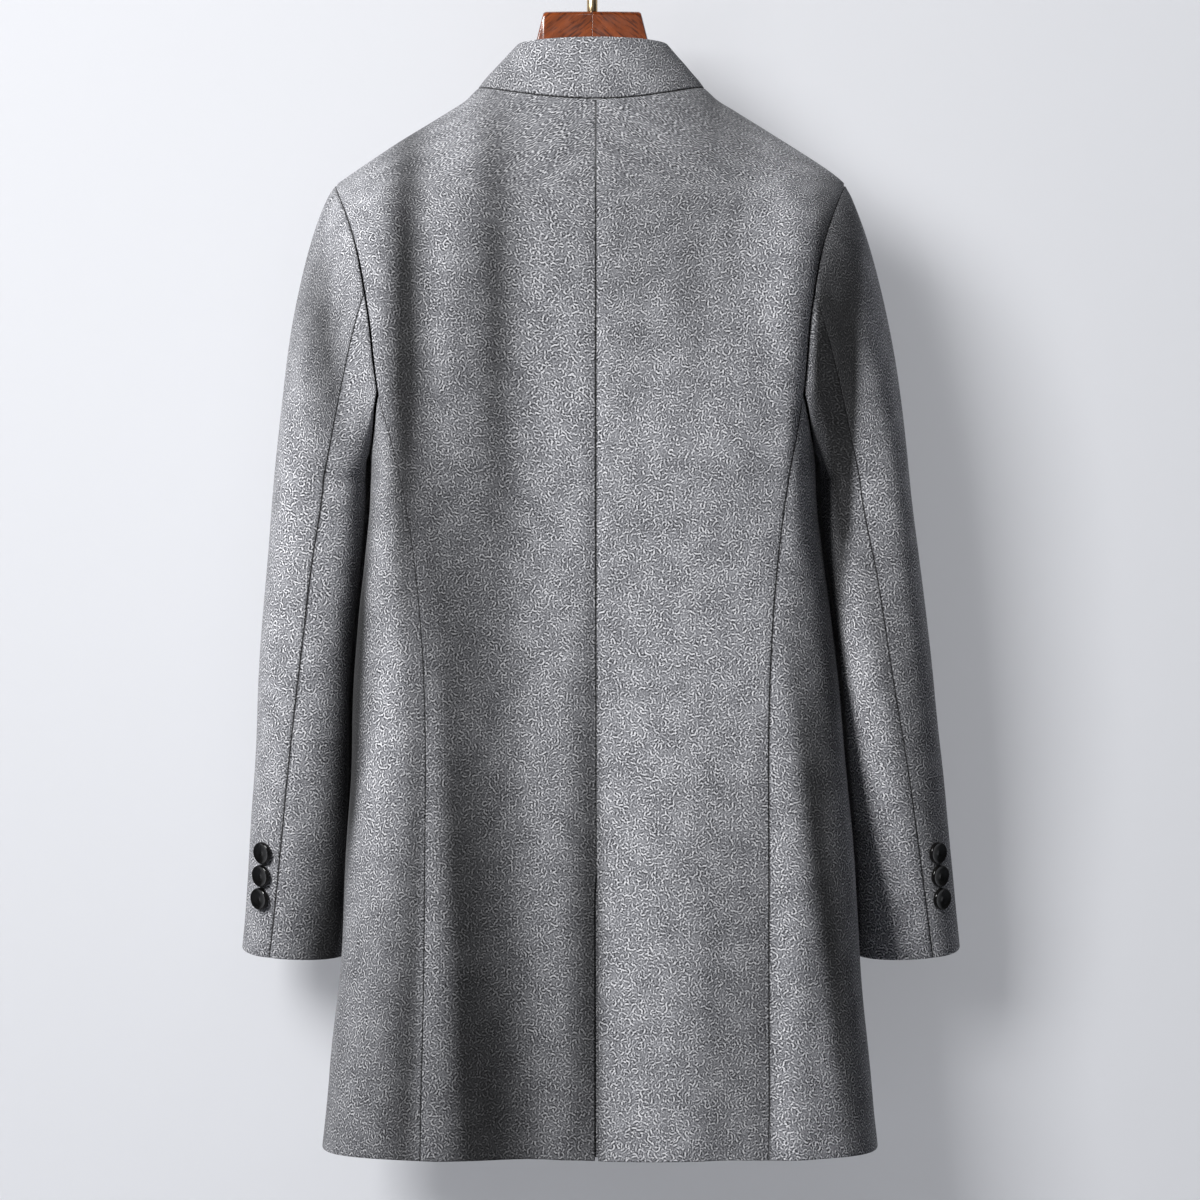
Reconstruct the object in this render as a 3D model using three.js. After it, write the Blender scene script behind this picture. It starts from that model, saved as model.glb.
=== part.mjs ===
// A grey wool overcoat with a stand collar, hanging on a wooden hanger with a brass hook.
// Millimetres, +Z up. The origin is inside the crown of the hook, where a rail carries it.
// The back of the coat faces -Y and its front +Y, and +X is the wearer's right.
// Heights are given as a drop, which is the distance below the origin.

import * as THREE from "three";

// Cloth
const CLOTH = 2.4;
const COLLAR_CLOTH = 3.2;
const SEAM_GAP = 0.3;

// Where the main lines of the coat lie
const NECK_HALF_WIDTH = 97;
const NECK_POINT_DROP = 136;
const BACK_NECK_DROP = 152;
const FRONT_NECK_DROP = 205;
const SHOULDER_TIP_DROP = 218.5;
const ARMHOLE_FOOT_DROP = 400;
const UNDERARM_DROP = 443;
const HEM_DROP = 1030;

// The shoulders: the seam runs along the top of each, where the back meets the front.
const SHOULDER_LINE = [
  { x: 0, drop: 70 },
  { x: 50, drop: 92 },
  { x: 80, drop: 118 },
  { x: 97, drop: 136 },
  { x: 106, drop: 146 },
  { x: 119, drop: 154.5 },
  { x: 146, drop: 171.5 },
  { x: 173, drop: 188.5 },
  { x: 199, drop: 205.5 },
  { x: 217, drop: 218.5 },
  { x: 240, drop: 236 },
];
const BACK_ROLL = 85; // height over which the back rolls over the shoulder
const FRONT_ROLL = 75;

// The body's sections: half its width, and how far the back and the front reach from the seam.
const BODY = [
  { drop: 120, half: 232, back: 44, front: 36 },
  { drop: 152, half: 231, back: 62, front: 52 },
  { drop: 180, half: 230, back: 77, front: 68 },
  { drop: 205, half: 229, back: 88, front: 80 },
  { drop: 250, half: 222, back: 102, front: 93 },
  { drop: 300, half: 211, back: 112, front: 104 },
  { drop: 365, half: 200, back: 116, front: 111 },
  { drop: 443, half: 187.5, back: 110, front: 110 },
  { drop: 486, half: 188.5, back: 103, front: 105 },
  { drop: 537, half: 193.5, back: 95, front: 99 },
  { drop: 588, half: 200, back: 91, front: 95 },
  { drop: 656, half: 206, back: 92, front: 96 },
  { drop: 724, half: 209.5, back: 99, front: 101 },
  { drop: 792, half: 214.5, back: 107, front: 107 },
  { drop: 886, half: 220, back: 115, front: 112 },
  { drop: 960, half: 227.5, back: 120, front: 115 },
  { drop: 1030, half: 234, back: 124, front: 117 },
];
const BACK_SQUARE = 2.5; // 2 is an ellipse, and more is squarer
const FRONT_SQUARE = 2.3;

// The seam that ends the back panel and the one that ends the front panel: shoulder seam,
// then armhole, then the seam to the side panel. Both have a row at each of these drops.
const PANEL_EDGES = [
  { drop: 136, back: 97, front: 97 },
  { drop: 149, back: 110.3, front: 110.3 },
  { drop: 166, back: 137.2, front: 137.2 },
  { drop: 184, back: 165.8, front: 165.8 },
  { drop: 202, back: 193.6, front: 193.6 },
  { drop: 218.5, back: 217, front: 217 },
  { drop: 235, back: 209.5, front: 207.5 },
  { drop: 255, back: 201.5, front: 197.5 },
  { drop: 285, back: 192.5, front: 187.5 },
  { drop: 317, back: 186.5, front: 181.5 },
  { drop: 345, back: 182.5, front: 178.8 },
  { drop: 375, back: 179.8, front: 178.6 },
  { drop: 400, back: 177, front: 180 },
  { drop: 430, back: 170.5, front: 176 },
  { drop: 470, back: 161.5, front: 169 },
  { drop: 520, back: 153.5, front: 162 },
  { drop: 580, back: 147.2, front: 157 },
  { drop: 650, back: 143.2, front: 155 },
  { drop: 720, back: 142, front: 156 },
  { drop: 790, back: 142, front: 158 },
  { drop: 860, back: 142, front: 160 },
  { drop: 930, back: 142.4, front: 163 },
  { drop: 985, back: 143, front: 165 },
  { drop: 1030, back: 143, front: 166 },
];
const TIP_ROW = 5;
const HIND_SEAM_ROW = 9; // where the seam at the back of the sleeve leaves the armhole
const FORE_SEAM_ROW = 11;
const FOOT_ROW = 12;
const PANEL_COLUMNS = 10;
const OVERLAP_COLUMNS = 2;
const SIDE_COLUMNS = 8;

// The largest folds: the middle line of each at its upper and lower end, its half width there,
// and how far it stands out of the panel, or into it if that is negative.
const BACK_FOLDS = [
  { upperX: -139, upper: 215, lowerX: -146, lower: 480, wide: 17, out: -5.5 },
  { upperX: -64, upper: 225, lowerX: -72, lower: 520, wide: 22, out: -5 },
  { upperX: 50, upper: 225, lowerX: 46, lower: 470, wide: 18, out: -2 },
  { upperX: 121, upper: 215, lowerX: 128, lower: 470, wide: 20, out: -4 },
  { upperX: -100, upper: 560, lowerX: -55, lower: 1150, wide: 30, out: -17 },
  { upperX: -126, upper: 600, lowerX: -126, lower: 1150, wide: 17, out: 5 },
  { upperX: -18, upper: 640, lowerX: -22, lower: 1150, wide: 15, out: 3 },
  { upperX: 62, upper: 560, lowerX: 50, lower: 1150, wide: 40, out: 5 },
  { upperX: 118, upper: 620, lowerX: 122, lower: 1150, wide: 22, out: -4 },
  { upperX: 0, upper: 180, lowerX: 0, lower: 1250, wide: 9, out: -2.6 },
];
const FRONT_FOLDS = [
  { upperX: -128, upper: 240, lowerX: -118, lower: 500, wide: 22, out: -5 },
  { upperX: 126, upper: 240, lowerX: 114, lower: 480, wide: 20, out: -4.5 },
  { upperX: -96, upper: 560, lowerX: -84, lower: 1150, wide: 26, out: -8 },
  { upperX: 88, upper: 600, lowerX: 100, lower: 1150, wide: 28, out: -9 },
  { upperX: 132, upper: 640, lowerX: 138, lower: 1150, wide: 18, out: 4 },
];

// The coat hangs a little askew: how far its panels and its outer lines lie to the side.
const LEAN = [
  { drop: 70, inner: -3.4, outer: -3.4 },
  { drop: 136, inner: -4, outer: -4 },
  { drop: 160, inner: -3.1, outer: -3.1 },
  { drop: 208, inner: -3.1, outer: -3.1 },
  { drop: 226, inner: -4.2, outer: -5.2 },
  { drop: 300, inner: -5.3, outer: -5.3 },
  { drop: 400, inner: -4.5, outer: -4 },
  { drop: 440, inner: -1.8, outer: -3.6 },
  { drop: 486, inner: -0.6, outer: -3.2 },
  { drop: 571, inner: 0.6, outer: -1.3 },
  { drop: 656, inner: 1, outer: 0.4 },
  { drop: 741, inner: 0.9, outer: 2.6 },
  { drop: 860, inner: 0.5, outer: 4.3 },
  { drop: 1030, inner: -1.2, outer: 3.4 },
];
const LEAN_INNER = 90; // half width over which the panels' lean sets in
const LEAN_OUTER = { from: 150, to: 210 };

// The front closes the wearer's left over the right.
const OVERLAP = 26;
const OVERLAP_FADE = 50; // width over which the two layers run together again
const LAYER_GAP = 1.2;
const UNDER_NECK_DIP = 6; // the layer below stops this far short of the collar

// The vent at the centre of the back
const VENT_DROP = 790;
const VENT_GAP = 2.6;
const UNDERLAP = { from: -14, to: 36, foot: 1027, columns: 8, rows: 8, gap: 1.1 };

// The stand collar's top edge
const COLLAR_TOP = { half: 63, back: 46, front: 60, drop: 98.5, frontDrop: 160 };
const COLLAR_ROWS = 3;
const COLLAR_OPENING = 1.2;
const COLLAR_GAP = 0.5; // above the neckline

// The sleeve below the armhole: its outer line, half width, middle and half depth.
const SLEEVE = [
  { drop: 470, outer: 270, halfWidth: 41, middle: 6, halfDepth: 66 },
  { drop: 540, outer: 277, halfWidth: 42, middle: 5, halfDepth: 63 },
  { drop: 613, outer: 284.8, halfWidth: 43, middle: 8, halfDepth: 60 },
  { drop: 700, outer: 292, halfWidth: 43.5, middle: 18, halfDepth: 56 },
  { drop: 784, outer: 300, halfWidth: 45, middle: 32, halfDepth: 52 },
  { drop: 871, outer: 309, halfWidth: 47, middle: 47, halfDepth: 49 },
];
const SLEEVE_SQUARE = 2.3;
const BICEP_DROP = 470;
const CUFF_DROP = 871;
const CUFF_TILT = { x: 0.04, y: 0.12 };
const CAP_BULGE = { outer: 10.5, raise: 56, back: 14 }; // how the sleeve head swells
const SLEEVE_CLEARANCE = 3.4; // between the sleeve and the body that it hangs beside
const ARMHOLE_GAP = 0.25;
const CAP_RINGS = [0, 0.14, 0.32, 0.52, 0.74, 1];
const ARM_RINGS = 9;

// The two seams of the sleeve, as angles round it: 0 outside, 90 behind, 180 at the body.
const SLEEVE_SEAMS = [
  { ring: 1, hind: 96, fore: 236 },
  { ring: 1.17, hind: 90, fore: 238 },
  { ring: 1.36, hind: 86, fore: 240 },
  { ring: 1.64, hind: 76, fore: 240 },
  { ring: 2, hind: 67, fore: 238 },
];
const SLEEVE_FOLDS = [
  { angle: 101, ringFrom: 0.15, ringTo: 1.35, wide: 24, out: -5.5 },
  { angle: 52, ringFrom: 0.3, ringTo: 1.7, wide: 26, out: 2.5 },
  { angle: 285, ringFrom: 0.5, ringTo: 1.6, wide: 28, out: -4 },
];

// Buttons: the profile of one is a share of its radius and of its thickness.
const CUFF_BUTTON = { radius: 9.5, thickness: 4, drops: [782, 801.6, 821.2], angle: 52 };
const FRONT_BUTTON = { radius: 12.5, thickness: 4.6, drops: [238, 346, 454, 562, 670] };
const BUTTON_SIDES = 14;
const BUTTON_PROFILE = [
  { across: 0, up: 0 },
  { across: 0.8, up: 0 },
  { across: 1, up: 0.42 },
  { across: 0.97, up: 0.86 },
  { across: 0.86, up: 1 },
  { across: 0.7, up: 0.74 },
  { across: 0.16, up: 0.58 },
  { across: 0, up: 0.36 },
];
const BUTTON_SEAT = 0.45;

// The hanger: top and bottom of the wood, and half its thickness, out from the middle.
const HANGER = [
  { x: 0, top: 71.5, bottom: 134, halfDepth: 9 },
  { x: 20, top: 71.5, bottom: 133, halfDepth: 9 },
  { x: 36, top: 71.6, bottom: 134, halfDepth: 9 },
  { x: 40.5, top: 73.5, bottom: 136, halfDepth: 9 },
  { x: 42.5, top: 78, bottom: 137, halfDepth: 9 },
  { x: 47, top: 94.5, bottom: 140, halfDepth: 9.5 },
  { x: 54, top: 106, bottom: 146, halfDepth: 10 },
  { x: 68, top: 117.5, bottom: 152, halfDepth: 10.5 },
  { x: 84, top: 129, bottom: 162, halfDepth: 11 },
  { x: 97, top: 142, bottom: 173, halfDepth: 11.5 },
];
const HANGER_ARM = { from: 112, to: 199, sections: 6, thickFrom: 30, thickTo: 26 };
const HANGER_DEPTH = { from: 12, to: 15.5 };
const HANGER_SIDES = 12;
const HANGER_SQUARE = 2.2;
const HANGER_SEAT = 1.1;
const HANGER_SHIFT = -3.2; // the wood and the shank stand a little to the side of the crown
const HANGER_JOINT = 0.15;

const FERRULE = { radius: 4.5, height: 15, bevel: 0.8, sides: 20 };
const HOOK = { wire: 3, bend: 21, shank: 14, sides: 6, steps: 30 };

const WOOL = { color: 0x85878c, roughness: 0.95, metalness: 0 };
const HORN = { color: 0x0b0b0c, roughness: 0.22, metalness: 0 };
const WALNUT = { color: 0x6a3018, roughness: 0.32, metalness: 0 };
const BRASS = { color: 0xb39a63, roughness: 0.28, metalness: 1 };

const radians = THREE.MathUtils.degToRad;
const mix = THREE.MathUtils.lerp;

function smooth(t) {
  return THREE.MathUtils.smoothstep(t, 0, 1);
}

// Moves a finished point of the coat to the side, by its height and its distance from the middle.
function leaning(point) {
  const drop = -point.z;
  const aside = Math.abs(point.x);
  const inner = leanInner(drop);
  const outer = leanOuter(drop);
  const share = smooth((aside - LEAN_OUTER.from) / (LEAN_OUTER.to - LEAN_OUTER.from));
  point.x += smooth(aside / LEAN_INNER) * inner + share * (outer - inner);
  return point;
}

// A smooth curve through one column of a table, which never overshoots its rows.
function curveOf(rows, key, value) {
  const keys = rows.map((row) => row[key]);
  const values = rows.map((row) => row[value]);
  const last = keys.length - 1;
  const slopes = keys.slice(1).map((end, i) => (values[i + 1] - values[i]) / (end - keys[i]));
  const tangents = keys.map((_, i) => {
    if (i === 0) return slopes[0];
    if (i === last) return slopes[last - 1];
    const product = slopes[i - 1] * slopes[i];
    return product > 0 ? (2 * product) / (slopes[i - 1] + slopes[i]) : 0;
  });
  return (at) => {
    const inside = THREE.MathUtils.clamp(at, keys[0], keys[last]);
    let i = 0;
    while (i < last - 1 && inside > keys[i + 1]) i += 1;
    const width = keys[i + 1] - keys[i];
    const t = (inside - keys[i]) / width;
    const rise = t * t * (3 - 2 * t);
    return (
      mix(values[i], values[i + 1], rise) +
      width * t * (1 - t) * ((1 - t) * tangents[i] - t * tangents[i + 1])
    );
  };
}

const leanInner = curveOf(LEAN, "drop", "inner");
const leanOuter = curveOf(LEAN, "drop", "outer");
const shoulderDrop = curveOf(SHOULDER_LINE, "x", "drop");
const bodyHalf = curveOf(BODY, "drop", "half");
const faces = {
  back: {
    sign: -1,
    reach: curveOf(BODY, "drop", "back"),
    square: BACK_SQUARE,
    roll: BACK_ROLL,
    folds: BACK_FOLDS,
    neckDrop: BACK_NECK_DROP,
  },
  front: {
    sign: 1,
    reach: curveOf(BODY, "drop", "front"),
    square: FRONT_SQUARE,
    roll: FRONT_ROLL,
    folds: FRONT_FOLDS,
    neckDrop: FRONT_NECK_DROP,
  },
};

// How far the folds stand out at a place on the back or the front.
function foldAt(folds, x, drop) {
  return folds.reduce((sum, fold) => {
    const along = (drop - fold.upper) / (fold.lower - fold.upper);
    if (along <= 0 || along >= 1) return sum;
    const across = (x - mix(fold.upperX, fold.lowerX, along)) / fold.wide;
    return sum + fold.out * Math.sin(Math.PI * along) * Math.exp(-across * across);
  }, 0);
}

// The quarter round by which a panel rolls over the shoulder.
function rollShare(face, x, drop) {
  const share = (drop - shoulderDrop(Math.abs(x))) / face.roll;
  const left = 1 - THREE.MathUtils.clamp(share, 0, 1);
  return Math.sqrt(1 - left * left);
}

// A point on the outside of the back or the front, at a signed x.
function facePoint(face, x, drop) {
  const share = Math.min(Math.abs(x) / bodyHalf(drop), 1);
  const section = (1 - share ** face.square) ** (1 / face.square);
  const rolled = rollShare(face, x, drop);
  const reach = (face.reach(drop) + foldAt(face.folds, x, drop)) * section * rolled;
  return new THREE.Vector3(x, face.sign * reach, -drop);
}

// A point on the body by its angle: -90 at the centre of the back, 0 at the side, 90 in front.
function sidePoint(side, angle, drop) {
  const face = angle < 0 ? faces.back : faces.front;
  const x = side * bodyHalf(drop) * Math.cos(angle) ** (2 / face.square);
  const section = Math.abs(Math.sin(angle)) ** (2 / face.square);
  const reach = (face.reach(drop) + foldAt(face.folds, x, drop)) * section;
  return new THREE.Vector3(x, face.sign * reach, -drop);
}

function edgeX(row, name) {
  const from = Math.floor(row);
  const to = Math.min(from + 1, PANEL_EDGES.length - 1);
  return mix(PANEL_EDGES[from][name], PANEL_EDGES[to][name], row - from);
}

function edgeDrop(row) {
  return row <= TIP_ROW ? shoulderDrop(edgeX(row, "back")) : edgeX(row, "drop");
}

// A row of a panel runs level below the armhole and follows the neckline above it.
function rowDrop(face, row, share) {
  const outer = edgeDrop(row);
  const down = (outer - NECK_POINT_DROP) / (ARMHOLE_FOOT_DROP - NECK_POINT_DROP);
  const centre = outer + (face.neckDrop - NECK_POINT_DROP) * (1 - smooth(down));
  return mix(centre, outer, share * share);
}

// The share of a panel's width at a column: the columns crowd towards the shoulder seam at the
// top, and towards the centre line lower down.
function columnShare(column, row) {
  const even = column / PANEL_COLUMNS;
  const below = smooth((row - TIP_ROW) / (FOOT_ROW - TIP_ROW));
  return mix(1 - (1 - even) ** 2, mix(even, even * even, 0.35), below);
}

// The centre seam opens below the top of the vent.
function ventGap(drop) {
  return (VENT_GAP / 2) * smooth((drop - VENT_DROP) / 30);
}

function backPanelPoint(side, column, row) {
  const share = columnShare(column, row);
  const drop = rowDrop(faces.back, row, share);
  const x = mix(ventGap(drop), edgeX(row, "back"), share);
  return facePoint(faces.back, side * x, drop);
}

// Columns below 0 are the overlap, on the far side of the centre line.
function frontPanelPoint(side, column, row) {
  const share = column < 0 ? 0 : columnShare(column, row);
  const over = column < 0 ? (column / OVERLAP_COLUMNS) * OVERLAP : 0;
  const x = side * (over + share * edgeX(row, "front"));
  const under = side > 0 ? UNDER_NECK_DIP * smooth(-x / 3) * (1 - smooth(row / 2)) : 0;
  const drop = rowDrop(faces.front, row, x / edgeX(row, "front")) + under;
  const point = facePoint(faces.front, x, drop);
  if (side < 0) point.y += (CLOTH + LAYER_GAP) * (1 - smooth((-x - OVERLAP) / OVERLAP_FADE));
  return point;
}

// The side panel, from the back seam to the front one. Its top edge is the foot of the armhole.
function sidePanelPoint(side, column, row) {
  const across = column / SIDE_COLUMNS;
  const level = edgeDrop(row);
  const fade = 1 - smooth((row - FOOT_ROW) / 4);
  const dip = (UNDERARM_DROP - ARMHOLE_FOOT_DROP) * fade;
  const drop = level + dip * Math.sin(Math.PI * across);
  const angles = ["back", "front"].map((name) => {
    const face = faces[name];
    const share = edgeX(row, name) / bodyHalf(level);
    return face.sign * Math.acos(share ** (face.square / 2));
  });
  return sidePoint(side, mix(angles[0], angles[1], across), drop);
}

// The armhole, once round from the shoulder tip: down the back, under the arm and up the front.
function armholePoints(side) {
  const back = [];
  const front = [];
  for (let row = TIP_ROW; row < FOOT_ROW; row += 1) {
    back.push(backPanelPoint(side, PANEL_COLUMNS, row));
    front.unshift(frontPanelPoint(side, PANEL_COLUMNS, row));
  }
  const foot = [];
  for (let column = 0; column <= SIDE_COLUMNS; column += 1) {
    foot.push(sidePanelPoint(side, column, FOOT_ROW));
  }
  return [...back, ...foot, ...front];
}

// The same points with their angle round the sleeve, which goes by the length along the armhole.
function armholeTable(side) {
  const points = armholePoints(side);
  const lengths = points.map((point, i) => (i ? point.distanceTo(points[i - 1]) : 0));
  const under = FOOT_ROW - TIP_ROW + SIDE_COLUMNS / 2;
  const sum = (from, to) => lengths.slice(from, to).reduce((a, b) => a + b, 0);
  const behind = sum(1, under + 1);
  const ahead = sum(under + 1, points.length);
  return points.map((point, i) => ({
    angle:
      i <= under
        ? (180 * sum(1, i + 1)) / behind
        : 180 + (180 * sum(under + 1, i + 1)) / ahead,
    x: point.x + side * ARMHOLE_GAP,
    y: point.y,
    z: point.z,
  }));
}

function armholeCurve(table) {
  const turn = (row, turns) => ({ ...row, angle: row.angle + 360 * turns });
  const before = table.slice(-4, -1).map((row) => turn(row, -1));
  const after = table.slice(1, 4).map((row) => turn(row, 1));
  const rows = [...before, ...table, ...after];
  const curves = ["x", "y", "z"].map((name) => curveOf(rows, "angle", name));
  return (angle) => new THREE.Vector3(...curves.map((curve) => curve(angle)));
}

const sleeveCurves = Object.fromEntries(
  ["outer", "halfWidth", "middle", "halfDepth"].map((name) => [
    name,
    curveOf(SLEEVE, "drop", name),
  ]),
);

function rounded(value) {
  return Math.sign(value) * Math.abs(value) ** (2 / SLEEVE_SQUARE);
}

// A point on a level section of the sleeve, kept just clear of the body beside it.
function sleeveSection(side, angle, drop, tilted) {
  const halfWidth = sleeveCurves.halfWidth(drop);
  const across = halfWidth * rounded(Math.cos(radians(angle)));
  const behind = sleeveCurves.halfDepth(drop) * rounded(Math.sin(radians(angle)));
  const x = sleeveCurves.outer(drop) - halfWidth + across;
  const y = sleeveCurves.middle(drop) - behind;
  const lift = tilted * (CUFF_TILT.x * across - CUFF_TILT.y * behind);
  return clearOfBody(new THREE.Vector3(side * x, y, -drop + lift), side);
}

// Moves a point of the sleeve out to the body's side line and the clearance, if it is inside.
function clearOfBody(point, side) {
  const drop = -point.z;
  if (drop < UNDERARM_DROP) return point;
  const face = point.y < 0 ? faces.back : faces.front;
  const share = Math.min(Math.abs(point.y) / face.reach(drop), 1);
  const body = bodyHalf(drop) * (1 - share ** face.square) ** (1 / face.square);
  const least = body + SLEEVE_CLEARANCE * smooth((drop - UNDERARM_DROP) / 12);
  point.x = side * Math.max(side * point.x, least);
  return point;
}

// A point on the sleeve: ring 0 is the armhole, 1 the upper arm and 2 the cuff.
function sleevePoint(sleeve, angle, ring) {
  const { side, armhole } = sleeve;
  if (ring > 1) {
    const drop = mix(BICEP_DROP, CUFF_DROP, ring - 1);
    return sleeveSection(side, angle, drop, ring - 1);
  }
  const start = armhole(angle);
  const end = sleeveSection(side, angle, BICEP_DROP, 0);
  const top = ((1 + Math.cos(radians(angle))) / 2) ** 2;
  const control = start.clone().lerp(end, 0.5);
  control.x += side * CAP_BULGE.outer * top;
  control.y -= CAP_BULGE.back * Math.sin(radians(angle));
  control.z += CAP_BULGE.raise * top;
  const curve = new THREE.QuadraticBezierCurve3(start, control, end);
  return clearOfBody(curve.getPoint(ring), side);
}

// The sleeve's folds move its points in or out, level with the ring.
function foldedSleevePoint(sleeve, angle, ring) {
  const point = sleevePoint(sleeve, angle, ring);
  const out = SLEEVE_FOLDS.reduce((sum, fold) => {
    const along = (ring - fold.ringFrom) / (fold.ringTo - fold.ringFrom);
    if (along <= 0 || along >= 1) return sum;
    const across = (angle - fold.angle) / fold.wide;
    return sum + fold.out * Math.sin(Math.PI * along) * Math.exp(-across * across);
  }, 0);
  point.x += sleeve.side * out * Math.cos(radians(angle));
  point.y -= out * Math.sin(radians(angle));
  return point;
}

// The outward normal of a surface, from its slope along u and along v.
function normalOf(surface, u, v, flip) {
  const { du, dv } = slopesOf(surface, u, v);
  const normal = new THREE.Vector3().crossVectors(du, dv).normalize();
  return flip ? normal.negate() : normal;
}

// At a corner row the edge bends sharply, and its slope is that of the part above.
function slopesOf({ point, us, vs, corner }, u, v) {
  const small = 1e-3;
  const clamp = (value, list) => THREE.MathUtils.clamp(value, list[0], list[list.length - 1]);
  const below = v === corner ? v : clamp(v + small, vs);
  const du = point(clamp(u + small, us), v).sub(point(clamp(u - small, us), v));
  const dv = point(u, below).sub(point(u, clamp(v - small, vs)));
  return { du: du.normalize(), dv: dv.normalize() };
}

// Moves a point at the edge of a piece back from the seam by half the gap.
function seamInset(surface, u, v, gaps) {
  const { du, dv } = slopesOf(surface, u, v);
  const along = du.clone().addScaledVector(dv, -du.dot(dv)).normalize();
  const down = dv.clone().addScaledVector(du, -du.dot(dv)).normalize();
  const { us, vs } = surface;
  const shift = new THREE.Vector3();
  if (u === us[0]) shift.addScaledVector(along, gaps.first);
  if (u === us[us.length - 1]) shift.addScaledVector(along, -gaps.last);
  if (v === vs[0]) shift.addScaledVector(down, gaps.top);
  if (v === vs[vs.length - 1]) shift.addScaledVector(down, -gaps.bottom);
  return shift;
}

// A cloth wall as a closed solid: the outside, the inside one thickness in, and the rim.
// surface holds point(u, v) and the lists us and vs; flip turns the normal the other way.
function clothWall(surface, { thickness = CLOTH, flip = false, gaps = {}, rim = null } = {}) {
  const { point, us, vs } = surface;
  const half = SEAM_GAP / 2;
  const edges = { first: half, last: half, top: half, bottom: 0, ...gaps };
  const outside = [];
  const inside = [];
  vs.forEach((v) => {
    us.forEach((u) => {
      const place = point(u, v).add(seamInset(surface, u, v, edges));
      const normal = rim && v === vs[0] ? rim(u) : normalOf(surface, u, v, flip);
      outside.push(place);
      inside.push(place.clone().addScaledVector(normal, -thickness));
    });
  });
  return shellGeometry(outside.map(leaning), inside.map(leaning), us.length, vs.length, flip);
}

// Joins two equal grids of points into one closed mesh with a rim round its four edges.
function shellGeometry(outside, inside, width, height, flip) {
  const points = [...outside, ...inside];
  const index = [];
  const under = outside.length;
  const quad = (a, b, c, d) => {
    const corners = flip ? [a, d, c, b] : [a, b, c, d];
    index.push(corners[0], corners[1], corners[2], corners[0], corners[2], corners[3]);
  };
  for (let j = 0; j + 1 < height; j += 1) {
    for (let i = 0; i + 1 < width; i += 1) {
      const a = j * width + i;
      const c = a + width;
      quad(a, a + 1, c + 1, c);
      quad(under + a, under + c, under + c + 1, under + a + 1);
    }
  }
  const last = (height - 1) * width;
  for (let i = 0; i + 1 < width; i += 1) {
    quad(i + 1, i, under + i, under + i + 1);
    quad(last + i, last + i + 1, under + last + i + 1, under + last + i);
  }
  for (let j = 0; j + 1 < height; j += 1) {
    const a = j * width;
    const b = a + width - 1;
    quad(under + a, a, a + width, under + a + width);
    quad(b + width, b, under + b, under + b + width);
  }
  return meshGeometry(points, index);
}

function meshGeometry(points, index) {
  const geometry = new THREE.BufferGeometry().setFromPoints(points);
  geometry.setIndex(index);
  geometry.computeVertexNormals();
  return geometry;
}

function range(from, to, steps) {
  return Array.from({ length: steps + 1 }, (_, i) => mix(from, to, i / steps));
}

const coat = new THREE.Group();
const PANEL_ROWS = range(0, PANEL_EDGES.length - 1, PANEL_EDGES.length - 1);

function addPiece(name, geometry, finish) {
  const mesh = new THREE.Mesh(geometry, new THREE.MeshStandardMaterial(finish));
  mesh.name = name;
  coat.add(mesh);
  return mesh;
}

function sideName(side) {
  return side < 0 ? "left" : "right";
}

function addBack(side) {
  const surface = {
    point: (column, row) => backPanelPoint(side, column, row),
    us: range(0, PANEL_COLUMNS, PANEL_COLUMNS),
    vs: PANEL_ROWS,
    corner: TIP_ROW,
  };
  addPiece(`back_${sideName(side)}`, clothWall(surface, { flip: side > 0 }), WOOL);
}

function addFront(side) {
  const columns = PANEL_COLUMNS + OVERLAP_COLUMNS;
  const surface = {
    point: (column, row) => frontPanelPoint(side, column, row),
    us: range(-OVERLAP_COLUMNS, PANEL_COLUMNS, columns),
    vs: PANEL_ROWS,
    corner: TIP_ROW,
  };
  const geometry = clothWall(surface, { flip: side < 0, gaps: { first: 0 } });
  addPiece(`front_${sideName(side)}`, geometry, WOOL);
  return surface;
}

function addSide(side) {
  const surface = {
    point: (column, row) => sidePanelPoint(side, column, row),
    us: range(0, SIDE_COLUMNS, SIDE_COLUMNS),
    vs: PANEL_ROWS.slice(FOOT_ROW),
  };
  addPiece(`side_${sideName(side)}`, clothWall(surface, { flip: side > 0 }), WOOL);
}

// The turned-under edge of the left back panel, behind the vent.
function addUnderlap() {
  const back = {
    point: (x, drop) => facePoint(faces.back, x, drop),
    us: range(UNDERLAP.from, UNDERLAP.to, UNDERLAP.columns),
    vs: range(VENT_DROP + 10, UNDERLAP.foot, UNDERLAP.rows),
  };
  const inward = CLOTH + UNDERLAP.gap;
  const surface = {
    ...back,
    point: (x, drop) => {
      const normal = normalOf(back, x, drop, true);
      return back.point(x, drop).addScaledVector(normal, -inward);
    },
  };
  addPiece("vent_underlap", clothWall(surface, { flip: true }), WOOL);
}

// The collar runs from the centre front round the back of the neck to the centre front.
function collarBase(column) {
  const side = Math.sign(column);
  const place = Math.abs(column);
  return place <= PANEL_COLUMNS
    ? backPanelPoint(side || 1, place, 0)
    : frontPanelPoint(side, 2 * PANEL_COLUMNS - place, 0);
}

function collarTop(column) {
  const side = Math.sign(column) || 1;
  const place = Math.abs(column);
  const behind = place <= PANEL_COLUMNS;
  const share = columnShare(behind ? place : 2 * PANEL_COLUMNS - place, 0);
  const reach = Math.sqrt(1 - share * share);
  const forward = behind ? 0 : reach;
  return new THREE.Vector3(
    side * COLLAR_TOP.half * share,
    behind ? -COLLAR_TOP.back * reach : COLLAR_TOP.front * reach,
    -mix(COLLAR_TOP.drop, COLLAR_TOP.frontDrop, forward ** 1.3),
  );
}

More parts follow.
